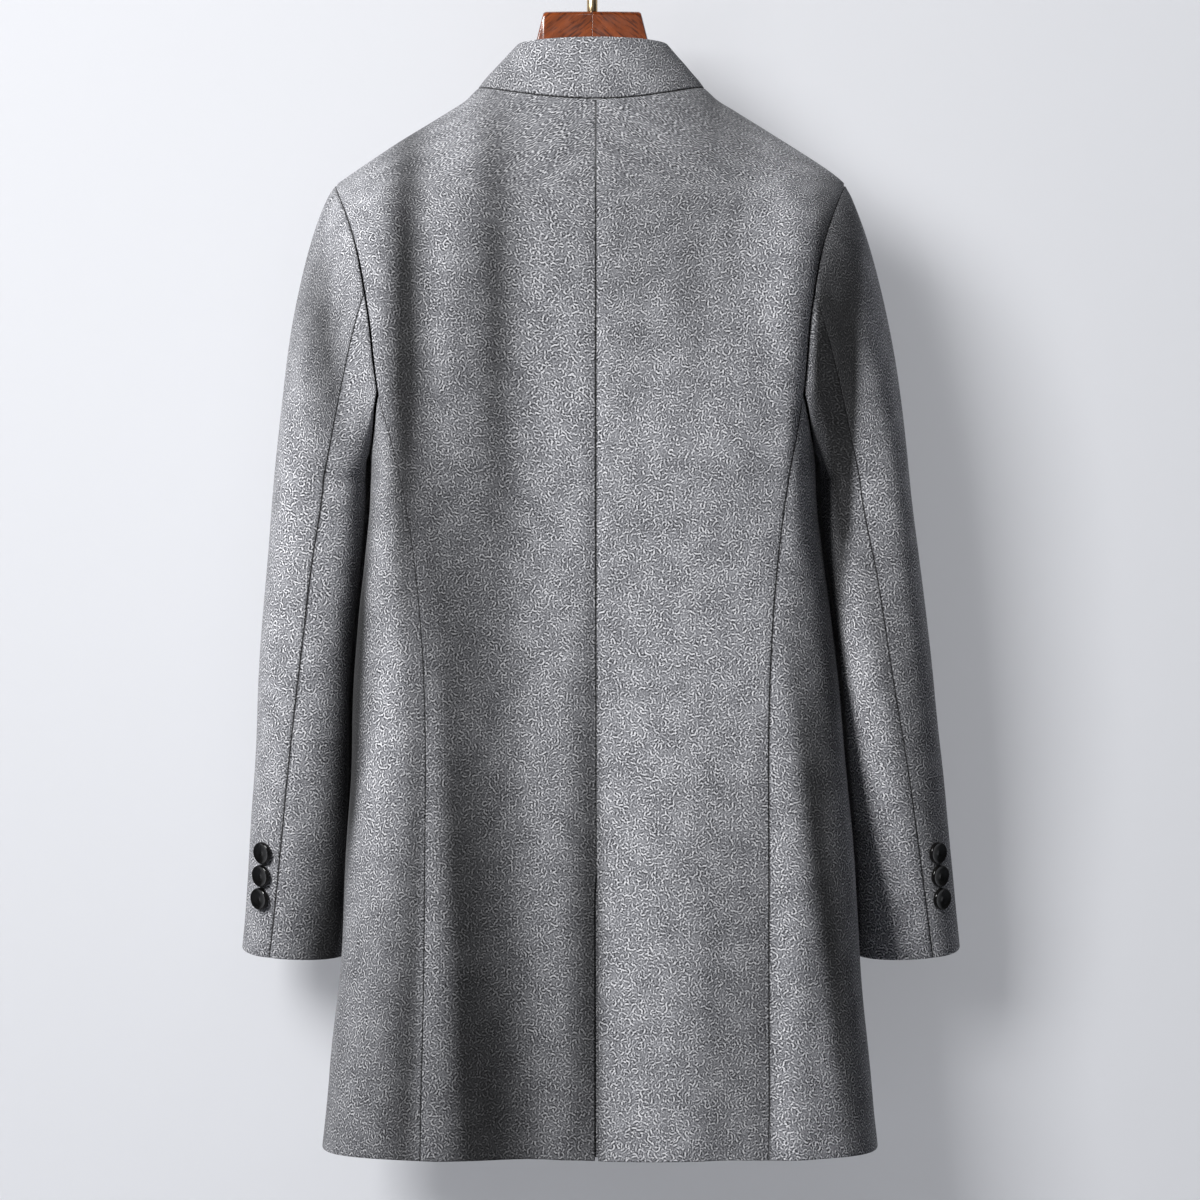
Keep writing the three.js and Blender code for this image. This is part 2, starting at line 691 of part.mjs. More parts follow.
function addCollar() {
  const end = 2 * PANEL_COLUMNS;
  const surface = {
    point: (column, row) => {
      const point = collarTop(column).lerp(collarBase(column), row / COLLAR_ROWS);
      const open = Math.abs(column) - (end - 1);
      if (open > 0) point.x += (Math.sign(column) * open * COLLAR_OPENING) / 2;
      return point;
    },
    us: range(-end, end, 2 * end),
    vs: range(0, COLLAR_ROWS, COLLAR_ROWS),
  };
  const gaps = { first: 0, last: 0, top: 0, bottom: COLLAR_GAP };
  const geometry = clothWall(surface, { thickness: COLLAR_CLOTH, gaps, flip: true });
  addPiece("collar", geometry, WOOL);
}

// The upper and the under sleeve meet at the hind and the fore seam.
function addSleeve(side) {
  const table = armholeTable(side);
  const sleeve = { side, armhole: armholeCurve(table) };
  const hindStart = HIND_SEAM_ROW - TIP_ROW;
  const foreStart = table.length - 1 - (FORE_SEAM_ROW - TIP_ROW);
  const seams = [
    { ring: 0, hind: table[hindStart].angle, fore: table[foreStart].angle },
    ...SLEEVE_SEAMS,
  ];
  const hind = curveOf(seams, "ring", "hind");
  const fore = curveOf(seams, "ring", "fore");
  const angles = table.map((row) => row.angle);
  const under = angles.slice(hindStart, foreStart + 1);
  const upper = [
    ...angles.slice(foreStart, -1).map((angle) => angle - 360),
    ...angles.slice(0, hindStart + 1),
  ];
  const rings = [...CAP_RINGS, ...range(1, 2, ARM_RINGS).slice(1)];
  const centre = new THREE.Box3().setFromPoints(armholePoints(side)).getCenter(
    new THREE.Vector3(),
  );
  const pieces = [
    { name: "upper", starts: upper, from: (ring) => fore(ring) - 360, to: hind },
    { name: "under", starts: under, from: hind, to: fore },
  ];
  const surfaces = pieces.map(({ name, starts, from, to }) => {
    const count = starts.length - 1;
    const angleAt = (column, ring) => {
      const low = Math.min(Math.floor(column), count - 1);
      const start = mix(starts[low], starts[low + 1], column - low);
      const share = (start - starts[0]) / (starts[count] - starts[0]);
      const even = mix(share, column / count, smooth(ring));
      return mix(from(ring), to(ring), even);
    };
    const surface = {
      point: (column, ring) => foldedSleevePoint(sleeve, angleAt(column, ring), ring),
      columnOf: (angle, ring) => (count * (angle - from(ring))) / (to(ring) - from(ring)),
      us: range(0, count, count),
      vs: rings,
    };
    const rim = (column) => {
      const radial = surface.point(column, 0).sub(centre);
      radial.x = 0;
      return radial.normalize();
    };
    const gaps = { top: 0 };
    const geometry = clothWall(surface, { flip: side < 0, rim, gaps });
    addPiece(`sleeve_${name}_${sideName(side)}`, geometry, WOOL);
    return surface;
  });
  return surfaces[0];
}

function buttonGeometry({ radius, thickness }) {
  const profile = BUTTON_PROFILE.map(
    ({ across, up }) => new THREE.Vector2(across * radius, up * thickness),
  );
  return new THREE.LatheGeometry(profile, BUTTON_SIDES).rotateX(Math.PI / 2);
}

// Seats a button just off a surface, facing along its normal.
function addButton(name, size, place, normal) {
  const mesh = addPiece(name, buttonGeometry(size), HORN);
  mesh.position.copy(leaning(place.clone().addScaledVector(normal, BUTTON_SEAT)));
  mesh.quaternion.setFromUnitVectors(new THREE.Vector3(0, 0, 1), normal);
}

// A point on the flat facets between the rows and columns of a wall.
function facetPoint({ point, us, vs }, u, v) {
  const cell = (list, value) => {
    const i = Math.max(0, Math.min(list.findLastIndex((at) => at <= value), list.length - 2));
    return { from: list[i], to: list[i + 1], share: (value - list[i]) / (list[i + 1] - list[i]) };
  };
  const column = cell(us, u);
  const row = cell(vs, v);
  const upper = point(column.from, row.from).lerp(point(column.to, row.from), column.share);
  const lower = point(column.from, row.to).lerp(point(column.to, row.to), column.share);
  return upper.lerp(lower, row.share);
}

// A flat button sits on the highest place of the cloth below it.
function seatOn(surface, u, v, reach, flip) {
  const place = facetPoint(surface, u, v);
  const normal = normalOf(surface, u, v, flip);
  const rises = range(0, 360, 12).map((turn) => {
    const rim = facetPoint(
      surface,
      u + reach.u * Math.cos(radians(turn)),
      v + reach.v * Math.sin(radians(turn)),
    );
    return rim.sub(place).dot(normal);
  });
  return { place: place.addScaledVector(normal, Math.max(0, ...rises)), normal };
}

function addCuffButtons(side, surface) {
  const length = CUFF_DROP - BICEP_DROP;
  CUFF_BUTTON.drops.forEach((drop, i) => {
    const ring = 1 + (drop - BICEP_DROP) / length;
    const column = surface.columnOf(CUFF_BUTTON.angle, ring);
    const reach = {
      u: surface.columnOf(CUFF_BUTTON.angle + 11, ring) - column,
      v: CUFF_BUTTON.radius / length,
    };
    const seat = seatOn(surface, column, ring, reach, side < 0);
    addButton(`cuff_button_${sideName(side)}_${i + 1}`, CUFF_BUTTON, seat.place, seat.normal);
  });
}

// The buttons stand on the centre line of the front that lies on top.
function addFrontButtons(surface) {
  const centreDrop = (row) => rowDrop(faces.front, row, 0);
  FRONT_BUTTON.drops.forEach((drop, i) => {
    const from = PANEL_ROWS.findLastIndex((row) => centreDrop(row) <= drop);
    const height = centreDrop(from + 1) - centreDrop(from);
    const row = from + (drop - centreDrop(from)) / height;
    const reach = { u: 1, v: FRONT_BUTTON.radius / height };
    const seat = seatOn(surface, 0, row, reach, true);
    addButton(`front_button_${i + 1}`, FRONT_BUTTON, seat.place, seat.normal);
  });
}

// One half of the wooden hanger, from the joint in the middle to its tip.
function addHangerHalf(side) {
  const { from, to, sections, thickFrom, thickTo } = HANGER_ARM;
  const arm = range(from, to, sections).map((x) => {
    const share = (x - from) / (to - from);
    const top = shoulderDrop(x) + hangerSeat(x);
    return {
      x,
      top,
      bottom: top + mix(thickFrom, thickTo, share),
      halfDepth: mix(HANGER_DEPTH.from, HANGER_DEPTH.to, smooth(share)),
    };
  });
  const rings = [...HANGER, ...arm].map(({ x, top, bottom, halfDepth }) =>
    range(0, 360, HANGER_SIDES)
      .slice(0, -1)
      .map((angle) => {
        const across = Math.sin(radians(angle));
        const up = Math.cos(radians(angle));
        const round = (value) => Math.sign(value) * Math.abs(value) ** (2 / HANGER_SQUARE);
        return new THREE.Vector3(
          side * Math.max(x, HANGER_JOINT) + HANGER_SHIFT,
          halfDepth * round(across),
          -mix(bottom, top, (1 + round(up)) / 2),
        );
      }),
  );
  addPiece(`hanger_${sideName(side)}`, tubeGeometry(rings, side < 0), WALNUT);
}

// How far the wood lies below the shoulder line: the cloth, measured upright, and its seat.
function hangerSeat(x) {
  const slope = shoulderDrop(x + 1) - shoulderDrop(x);
  return CLOTH * Math.hypot(1, slope) + HANGER_SEAT;
}

// A closed tube through rings with the same number of points, with both ends filled.
function tubeGeometry(rings, flip) {
  const count = rings[0].length;
  const index = [];
  const push = (a, b, c) => index.push(...(flip ? [a, c, b] : [a, b, c]));
  for (let j = 0; j + 1 < rings.length; j += 1) {
    for (let i = 0; i < count; i += 1) {
      const next = (i + 1) % count;
      const a = j * count;
      push(a + i, a + count + i, a + count + next);
      push(a + i, a + count + next, a + next);
    }
  }
  const last = (rings.length - 1) * count;
  for (let i = 1; i + 1 < count; i += 1) {
    push(0, i, i + 1);
    push(last, last + i + 1, last + i);
  }
  return meshGeometry(rings.flat(), index);
}

// The brass hook: a ferrule on the wood, and above it a shank that bends into a round crown.
function addHook() {
  const { radius, height, bevel, sides } = FERRULE;
  const seat = -HANGER[0].top + SEAM_GAP;
  const profile = [
    [0, 0],
    [radius, 0],
    [radius, height - bevel],
    [radius - bevel, height],
    [0, height],
  ].map(([across, up]) => new THREE.Vector2(across, up));
  const ferrule = new THREE.LatheGeometry(profile, sides).rotateX(Math.PI / 2);
  addPiece("hook_ferrule", ferrule.translate(HANGER_SHIFT, 0, seat), BRASS);

  const centre = HOOK.wire - HOOK.bend;
  const foot = seat + height + SEAM_GAP;
  const arc = range(215, -35, 12).map(
    (angle) =>
      new THREE.Vector3(
        HOOK.bend * Math.cos(radians(angle)),
        0,
        centre + HOOK.bend * Math.sin(radians(angle)),
      ),
  );
  const shank = [0, HOOK.shank * 0.35].map(
    (height) => new THREE.Vector3(HANGER_SHIFT, 0, foot + height),
  );
  const path = new THREE.CatmullRomCurve3([...shank, ...arc], false, "centripetal");
  const ring = new THREE.Shape().absarc(0, 0, HOOK.wire, 0, 2 * Math.PI);
  const geometry = new THREE.ExtrudeGeometry(ring, {
    steps: HOOK.steps,
    curveSegments: HOOK.sides,
    bevelEnabled: false,
    extrudePath: path,
  });
  addPiece("hook", geometry, BRASS);
}

[-1, 1].forEach((side) => {
  addBack(side);
  addSide(side);
  const front = addFront(side);
  if (side < 0) addFrontButtons(front);
  addCuffButtons(side, addSleeve(side));
  addHangerHalf(side);
});
addUnderlap();
addCollar();
addHook();

export default coat;
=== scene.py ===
# %% [markdown]
# A grey wool overcoat hangs with its back to the viewer on a shaped wooden hanger.
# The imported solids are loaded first: they give every piece its place and its size.
# All lengths below are in millimetres until a mesh is made, because a tailor thinks in them.
# A height is given as a drop, which is the distance below the crown of the hook.

# %% Load the solids
import math

import bpy
import numpy as np
from mathutils import Matrix, Vector


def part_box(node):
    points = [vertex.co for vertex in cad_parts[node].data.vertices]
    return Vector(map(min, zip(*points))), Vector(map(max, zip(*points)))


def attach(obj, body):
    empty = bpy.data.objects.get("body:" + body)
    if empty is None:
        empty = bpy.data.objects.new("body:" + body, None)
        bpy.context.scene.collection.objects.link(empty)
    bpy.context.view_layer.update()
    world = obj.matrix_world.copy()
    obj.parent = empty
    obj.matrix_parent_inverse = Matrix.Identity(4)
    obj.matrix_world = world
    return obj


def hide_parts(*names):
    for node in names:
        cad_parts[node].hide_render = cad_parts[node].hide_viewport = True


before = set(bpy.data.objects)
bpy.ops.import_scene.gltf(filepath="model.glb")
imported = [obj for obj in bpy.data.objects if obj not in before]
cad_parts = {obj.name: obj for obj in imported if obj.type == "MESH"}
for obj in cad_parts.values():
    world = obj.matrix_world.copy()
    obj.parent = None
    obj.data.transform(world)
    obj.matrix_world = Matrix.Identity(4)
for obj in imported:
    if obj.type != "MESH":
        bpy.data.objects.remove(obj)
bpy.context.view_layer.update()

MM = 0.001


def add_object(name, data):
    thing = bpy.data.objects.new(name, data)
    bpy.context.scene.collection.objects.link(thing)
    return thing


def stand_for(piece, node):
    """Hides the solid that a piece replaces, and lets the piece move with the root body."""
    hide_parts(node)
    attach(piece, "root")


# %% [markdown]
# The coat was photographed squarely from behind, from about three metres, with a long lens.
# A long lens keeps the collar and the hem at nearly the same scale, so the camera stands far
# back and looks level at the middle of the coat.

# %% Camera
VIEW_DISTANCE = 3200
VIEW_CENTRE = (3.4, 571)
PICTURE_WIDTH = 1020
SENSOR = 36

camera = add_object("camera", bpy.data.cameras.new("camera"))
camera.data.sensor_width = SENSOR
camera.data.lens = SENSOR * VIEW_DISTANCE / PICTURE_WIDTH
camera.location = (VIEW_CENTRE[0] * MM, -VIEW_DISTANCE * MM, -VIEW_CENTRE[1] * MM)
camera.rotation_euler = (math.pi / 2, 0, 0)
camera.data.clip_end = 50
bpy.context.scene.camera = camera
print("lens:", round(camera.data.lens, 1), "mm")

# %% [markdown]
# A coat is cut from flat panels, and each seam is a line that two panels share. Short tables
# of measurements describe these lines, and a smooth curve through each column fills them in.
# The curve never overshoots its rows, so a seam has no waves that the tables don't hold.

# %% Tables and smooth curves
def table(names, *rows):
    columns = np.array(rows, dtype=float).T
    return dict(zip(names.split(), columns))


def smooth(t):
    t = np.clip(t, 0, 1)
    return t * t * (3 - 2 * t)


def mix(a, b, t):
    return a + (b - a) * t


def curve_of(rows, value, key="drop"):
    keys, values = rows[key], rows[value]
    slopes = np.diff(values) / np.diff(keys)
    before, after = slopes[:-1], slopes[1:]
    total = np.where(before * after > 0, before + after, 1)
    middle = np.where(before * after > 0, 2 * before * after / total, 0)
    tangents = np.concatenate([slopes[:1], middle, slopes[-1:]])

    def curve(at):
        at = np.clip(at, keys[0], keys[-1])
        i = np.clip(np.searchsorted(keys, at, side="right") - 1, 0, len(keys) - 2)
        width = keys[i + 1] - keys[i]
        t = (at - keys[i]) / width
        bend = width * t * (1 - t) * ((1 - t) * tangents[i] - t * tangents[i + 1])
        return mix(values[i], values[i + 1], smooth(t)) + bend

    return curve


SHOULDER_LINE = table(
    "x drop",
    (0, 70), (50, 92), (80, 118), (97, 136), (106, 146), (119, 154.5),
    (146, 171.5), (173, 188.5), (199, 205.5), (217, 218.5), (240, 236),
)
BODY = table(
    "drop half back front",
    (120, 232, 44, 36),
    (152, 231, 62, 52),
    (180, 230, 77, 68),
    (205, 229, 88, 80),
    (250, 222, 102, 93),
    (300, 211, 112, 104),
    (365, 200, 116, 111),
    (443, 187.5, 110, 110),
    (486, 188.5, 103, 105),
    (537, 193.5, 95, 99),
    (588, 200, 91, 95),
    (656, 206, 92, 96),
    (724, 209.5, 99, 101),
    (792, 214.5, 107, 107),
    (886, 220, 115, 112),
    (960, 227.5, 120, 115),
    (1030, 234, 124, 117),
)
shoulder_drop = curve_of(SHOULDER_LINE, "drop", key="x")
body_half = curve_of(BODY, "half")

# %% [markdown]
# Wool this heavy doesn't crease sharply. It hangs in long soft folds that start where the
# cloth is held, at the shoulders and the waist, and grow towards the hem. Each fold is one
# row: the middle line's two ends, the half width, and how far it stands out of the panel.

# %% Folds
FOLD_COLUMNS = "upper_x upper lower_x lower wide out"
BACK_FOLDS = table(
    FOLD_COLUMNS,
    (-155, 190, -152, 470, 13, -5),
    (-120, 190, -118, 440, 14, 3),
    (-88, 190, -84, 470, 20, -7),
    (50, 210, 46, 470, 18, -2),
    (92, 190, 96, 470, 20, -4),
    (172, 190, 168, 560, 18, 8),
    (-60, 380, -62, 760, 36, -7),
    (-62, 560, -48, 1450, 34, -14),
    (-128, 560, -134, 1450, 22, 5),
    (-12, 620, -12, 1450, 9, -3),
    (56, 560, 50, 1450, 40, 4),
    (110, 620, 112, 1450, 22, -5),
    (166, 560, 168, 1450, 15, 5),
    (0, 180, 0, 1250, 6, -2.2),
)
FRONT_FOLDS = table(
    FOLD_COLUMNS,
    (-128, 240, -118, 500, 22, -5),
    (126, 240, 114, 480, 20, -4.5),
    (-96, 560, -84, 1150, 26, -8),
    (88, 600, 100, 1150, 28, -9),
    (132, 640, 138, 1150, 18, 4),
)


def fold_at(folds, x, drop):
    total = np.zeros(np.broadcast(x, drop).shape)
    for upper_x, upper, lower_x, lower, wide, out in zip(*folds.values()):
        along = (drop - upper) / (lower - upper)
        across = (x - mix(upper_x, lower_x, along)) / wide
        inside = (along > 0) & (along < 1)
        swell = np.sin(np.pi * np.clip(along, 0, 1))
        total = total + np.where(inside, out * swell * np.exp(-across * across), 0)
    return total


# %% [markdown]
# The trunk of the coat is a tube that is flattened in front and behind, and rolls over the
# shoulders at the top. A place on it is found by its distance from the centre line and its
# drop, and the same two functions serve every panel, so neighbours meet along their seams.

# %% The trunk of the coat
BACK = {
    "sign": -1, "reach": curve_of(BODY, "back"), "square": 3.8, "roll": 85,
    "folds": BACK_FOLDS, "neck_drop": 152,
}
FRONT = {
    "sign": 1, "reach": curve_of(BODY, "front"), "square": 2.3, "roll": 75,
    "folds": FRONT_FOLDS, "neck_drop": 205,
}


def points(x, y, z):
    return np.stack(np.broadcast_arrays(x, y, z), axis=-1).astype(float)


def face_point(face, x, drop):
    share = np.clip(np.abs(x) / body_half(drop), 0, 1)
    section = (1 - share ** face["square"]) ** (1 / face["square"])
    left = 1 - np.clip((drop - shoulder_drop(np.abs(x))) / face["roll"], 0, 1)
    rolled = np.sqrt(1 - left * left)
    reach = (face["reach"](drop) + fold_at(face["folds"], x, drop)) * section * rolled
    return points(x, face["sign"] * reach, -drop)


def side_point(side, angle, drop):
    behind = angle < 0
    result = []
    for face in (BACK, FRONT):
        power = 2 / face["square"]
        x = side * body_half(drop) * np.cos(angle) ** power
        reach = face["reach"](drop) + fold_at(face["folds"], x, drop)
        result.append(points(x, face["sign"] * reach * np.abs(np.sin(angle)) ** power, -drop))
    return np.where(behind[..., None], result[0], result[1])


# %% [markdown]
# Row by row, the outer edge of a back or front panel runs down the shoulder seam, round the
# armhole and down the seam to the side panel. The shoulder and the rest are two curves,
# because the edge has a real corner at the tip of the shoulder.

# %% Panel edges
PANEL_EDGES = table(
    "row drop back front",
    (0, 136, 97, 97),
    (1, 149, 110.3, 110.3),
    (2, 166, 137.2, 137.2),
    (3, 184, 165.8, 165.8),
    (4, 202, 193.6, 193.6),
    (5, 218.5, 217, 217),
    (6, 235, 209.5, 207.5),
    (7, 255, 201.5, 197.5),
    (8, 285, 192.5, 187.5),
    (9, 317, 186.5, 181.5),
    (10, 345, 182.5, 178.8),
    (11, 375, 179.8, 178.6),
    (12, 400, 177, 180),
    (13, 430, 170.5, 176),
    (14, 470, 161.5, 169),
    (15, 520, 153.5, 162),
    (16, 580, 147.2, 157),
    (17, 650, 143.2, 155),
    (18, 720, 142, 156),
    (19, 790, 142, 158),
    (20, 860, 142, 160),
    (21, 930, 142.4, 163),
    (22, 985, 143, 165),
    (23, 1030, 143, 166),
)
TIP_ROW, HIND_ROW, FORE_ROW, FOOT_ROW, HEM_ROW = 5, 9, 11, 12, 23
NECK_DROP, FOOT_DROP, UNDERARM_DROP = 136, 400, 443


def edge_curve(name):
    upper = {key: values[: TIP_ROW + 1] for key, values in PANEL_EDGES.items()}
    lower = {key: values[TIP_ROW:] for key, values in PANEL_EDGES.items()}
    parts = [curve_of(part, name, key="row") for part in (upper, lower)]
    return lambda row: np.where(row <= TIP_ROW, parts[0](row), parts[1](row))


edge_x = {"back": edge_curve("back"), "front": edge_curve("front")}
level_of_row = edge_curve("drop")


def edge_drop(row):
    return np.where(row <= TIP_ROW, shoulder_drop(edge_x["back"](row)), level_of_row(row))


def row_drop(face, row, share):
    outer = edge_drop(row)
    down = (outer - NECK_DROP) / (FOOT_DROP - NECK_DROP)
    centre = outer + (face["neck_drop"] - NECK_DROP) * (1 - smooth(down))
    return mix(centre, outer, share * share)


def column_share(even, row):
    below = smooth((row - TIP_ROW) / (FOOT_ROW - TIP_ROW))
    return mix(1 - (1 - even) ** 2, mix(even, even * even, 0.35), below)


VENT_DROP, VENT_GAP, VENT_FADE = 790, 2.6, 30
CLOTH, COLLAR_CLOTH, LAYER_GAP = 2.4, 3.2, 1.2
OVERLAP, OVERLAP_SHARE, OVERLAP_FADE, UNDER_NECK_DIP = 26, 0.2, 50, 6


def back_point(side, even, row):
    share = column_share(even, row)
    drop = row_drop(BACK, row, share)
    opening = VENT_GAP / 2 * smooth((drop - VENT_DROP) / VENT_FADE)
    x = mix(opening, edge_x["back"](row), share)
    return face_point(BACK, side * x, drop)


def front_point(side, even, row):
    share = np.where(even < 0, 0, column_share(np.maximum(even, 0), row))
    over = np.where(even < 0, even / OVERLAP_SHARE * OVERLAP, 0)
    x = side * (over + share * edge_x["front"](row))
    under = (side > 0) * UNDER_NECK_DIP * smooth(-x / 3) * (1 - smooth(row / 2))
    drop = row_drop(FRONT, row, x / edge_x["front"](row)) + under
    place = face_point(FRONT, x, drop)
    if side < 0:
        place[..., 1] += (CLOTH + LAYER_GAP) * (1 - smooth((-x - OVERLAP) / OVERLAP_FADE))
    return place


def side_panel_point(side, across, row):
    level = edge_drop(row)
    dip = (UNDERARM_DROP - FOOT_DROP) * (1 - smooth((row - FOOT_ROW) / 4))
    drop = level + dip * np.sin(np.pi * across)
    ends = []
    for face, name in ((BACK, "back"), (FRONT, "front")):
        share = edge_x[name](row) / body_half(level)
        ends.append(face["sign"] * np.arccos(share ** (face["square"] / 2)))
    return side_point(side, mix(ends[0], ends[1], across), drop)


# %% [markdown]
# The coat hangs a little askew, as real ones do: its shoulders lie to the left of the middle
# and its cuffs to the right. A last small sideways shift gives every finished point this lean.

# %% Lean
LEAN = table(
    "drop inner outer",
    (70, -3.4, -3.4),
    (136, -4, -4),
    (160, -3.1, -3.1),
    (208, -3.1, -3.1),
    (226, -4.2, -5.2),
    (300, -5.3, -5.3),
    (400, -4.5, -4),
    (440, -1.8, -3.6),
    (486, -0.6, -3.2),
    (571, 0.6, -1.3),
    (656, 1, 0.4),
    (741, 0.9, 2.6),
    (860, 0.5, 4.3),
    (1030, -1.2, 3.4),
)
ARM_FROM_X, ARM_FADE, MIDDLE_FADE = 150, 60, 90
lean_inner = curve_of(LEAN, "inner")
lean_outer = curve_of(LEAN, "outer")


def leaning(place):
    x, drop = place[..., 0], -place[..., 2]
    inner, outer = lean_inner(drop), lean_outer(drop)
    share = smooth((np.abs(x) - ARM_FROM_X) / ARM_FADE)
    moved = place.copy()
    moved[..., 0] = x + smooth(np.abs(x) / MIDDLE_FADE) * inner + share * (outer - inner)
    return moved


# %% [markdown]
# Shade is painted into the wool's colour where the cloth hollows: in the troughs of the folds,
# under the arms and beside the pressed seams. Each row here is one patch of painted shade on the
# finished coat: the two ends of its middle line, how wide it reaches to the left and to the right
# of that line, and its greatest darkness.

# %% Painted shade in the hollows
PAINTED_SHADE_ROWS = table(
    "upper_x upper lower_x lower left right shade",
    (-187, 409, -209, 780, 12, 7, 0.90),
    (-157, 57, -159, 627, 17, 18, 0.87),
    (-88, 83, -79, 549, 17, 22, 0.62),
    (-171, 339, -144, 861, 8, 148, 0.27),
    (-141, 259, -93, 1196, 16, 62, 0.56),
    (-5, 525, -1, 1146, 22, 9, 0.74),
    (138, 640, 140, 1240, 57, 6, 0.51),
    (154, 532, 224, 1118, 11, 24, 0.90),
    (189, 199, 182, 490, 6, 24, 0.90),
    (224, 156, 193, 772, 17, 8, 0.84),
    (178, 341, 320, 959, 12, 37, 0.51),
    (-138, 467, -162, 1197, 22, 8, 0.42),
    (-103, 679, -17, 1638, 220, 74, 0.70),
    (-236, 254, -214, 463, 22, 13, 0.7),
    (-170, 534, -277, 1195, 34, 7, 0.73),
    (127, 20, 96, 432, 220, 19, 0.44),
)


# Adds up the painted shade of every row at each point of the finished coat.
def painted_shade_at(x, drop):
    total = np.zeros(x.shape)
    for upper_x, upper, lower_x, lower, left, right, shade in zip(*PAINTED_SHADE_ROWS.values()):
        along = np.clip((drop - upper) / (lower - upper), 0, 1)
        across = x - mix(upper_x, lower_x, along)
        wide = np.where(across < 0, left, right)
        total += shade * np.sin(np.pi * along) * np.exp(-((across / wide) ** 2))
    return total


# %% [markdown]
# A cloth piece is a curved sheet with two faces. Here it is built as a grid of points,
# which follows its seam lines exactly, where a primitive would have to be bent to them. The
# points are spaced by real distance along the cloth, and crowd at the edges, because the cloth
# rolls in at a seam over little more than a millimetre.

# %% Spacing the points of a panel
# Each grid's greatest length in one direction, and the distance between its points there
GRIDS = {
    "back": (165, 2.6), "side": (170, 3.2), "front": (200, 3.4), "strip": (50, 2.6),
    "strip_down": (227, 4), "upper": (260, 2.9), "under": (160, 2.9), "head_down": (240, 4.2),
    "arm_down": (400, 4.2), "collar": (500, 2.6), "collar_down": (60, 2.6),
}
RIM = 1.5
SAMPLES = 700


def shares_across(length, step):
    close = RIM * np.array([0, 0.05, 0.17, 0.36, 0.64])
    count = max(int((length - 2 * RIM) / step), 2)
    middle = np.linspace(RIM, length - RIM, count + 1)
    return np.concatenate([close, middle, length - close[::-1]]) / length


def lengths_along(grid, axis):
    steps = np.linalg.norm(np.diff(grid, axis=axis), axis=-1)
    start = np.zeros_like(np.take(steps, [0], axis=axis))
    return np.concatenate([start, np.cumsum(steps, axis=axis)], axis=axis)


def spaced_grid(point, rows, shares):
    """Points of a surface, row by row, at equal shares of each row's real length."""
    fine = (1 - np.cos(np.pi * np.linspace(0, 1, SAMPLES))) / 2
    dense = point(fine[None, :] + 0 * rows[:, None], rows[:, None] + 0 * fine[None, :])
    lengths = lengths_along(dense, 1)
    grid = np.empty((len(rows), len(shares), 3))
    for i, (line, run) in enumerate(zip(dense, lengths)):
        for k in range(3):
            grid[i, :, k] = np.interp(shares * run[-1], run, line[:, k])
    return grid


# %% [markdown]
# Thick wool is never quite flat, so every panel also gets slow waves of less than a millimetre.
# They die away towards the seams, where two panels have to meet. Each piece has its own seed,
# so no two panels are alike and every run gives the same coat.

# %% Slow waves in the cloth
WAVES, SHORTEST_WAVE, MIDDLE_WAVE, LONGEST_WAVE, WAVE_TURN = 9, 45, 110, 170, 0.9


def slow_waves(across, along, seed, height):
    source = np.random.default_rng(seed)
    total = np.zeros(across.shape)
    for _ in range(WAVES):
        length = source.uniform(SHORTEST_WAVE, LONGEST_WAVE)
        turn = source.uniform(-WAVE_TURN, WAVE_TURN)
        phase = source.uniform(0, 2 * np.pi)
        place = across * np.cos(turn) + along * np.sin(turn)
        total += length / MIDDLE_WAVE * np.sin(2 * np.pi * place / length + phase)
    return height * total / math.sqrt(WAVES)


# %% [markdown]
# Each edge of a piece is either a seam or a turned edge. At a seam the cloth is pressed, so
# the panel dips a little towards it. The thickness runs out in a round at every edge. The UV
# map holds real distances along the cloth in metres, so the nap keeps one scale everywhere,
# and an attribute carries painted shade to the material: the patches of painted shade, a painted
# dark line beside each seam and a darker inside face.

# %% Make a cloth piece
WOOL_PIECES = []
# The crease width is how far the painted shade beside a seam reaches.
WAVE_HEIGHT, CALM_EDGE, PAINTED_CREASE_WIDTH, RIM_SHARE = 0.55, 30, 1.1, 0.12
# Painted shade: its greatest darkness, the painted shade of the inside face, and the share of the
# back's painted shade that the front gets.
DARKEST_PAINTED_SHADE, PAINTED_SHADE_INSIDE, PAINTED_SHADE_IN_FRONT = 0.93, 0.5, 0.4
UV_STEP = (610, 370)
# A seam's shade is painted shade: a dark line painted into the colour beside the seam.
SEAM = {"gap": 0.2, "dip": 0.9, "reach": 6, "shade": 0.9}
EDGE = {"gap": 0, "dip": 0, "reach": 6, "shade": 0}


def normals_of(grid, axis):
    slope_u = np.gradient(grid, axis=1)
    slope_v = np.gradient(grid, axis=0)
    normal = np.cross(slope_u, slope_v)
    normal /= np.linalg.norm(normal, axis=-1, keepdims=True)
    outward = grid - np.array([axis[0], axis[1], 0])
    flip = (normal[..., :2] * outward[..., :2]).sum() < 0
    return (-normal, True) if flip else (normal, False)


def shell_faces(rows, columns, flip):
    index = np.arange(rows * columns).reshape(rows, columns)
    under = index + rows * columns

    def quads(a, b, c, d):
        return np.stack([a, b, c, d], axis=-1).reshape(-1, 4)

    faces = np.concatenate([
        quads(index[:-1, :-1], index[:-1, 1:], index[1:, 1:], index[1:, :-1]),
        quads(under[:-1, :-1], under[1:, :-1], under[1:, 1:], under[:-1, 1:]),
        quads(index[0, 1:], index[0, :-1], under[0, :-1], under[0, 1:]),
        quads(index[-1, :-1], index[-1, 1:], under[-1, 1:], under[-1, :-1]),
        quads(under[:-1, 0], index[:-1, 0], index[1:, 0], under[1:, 0]),
        quads(index[1:, -1], index[:-1, -1], under[:-1, -1], under[1:, -1]),
    ])
    return faces[:, ::-1] if flip else faces


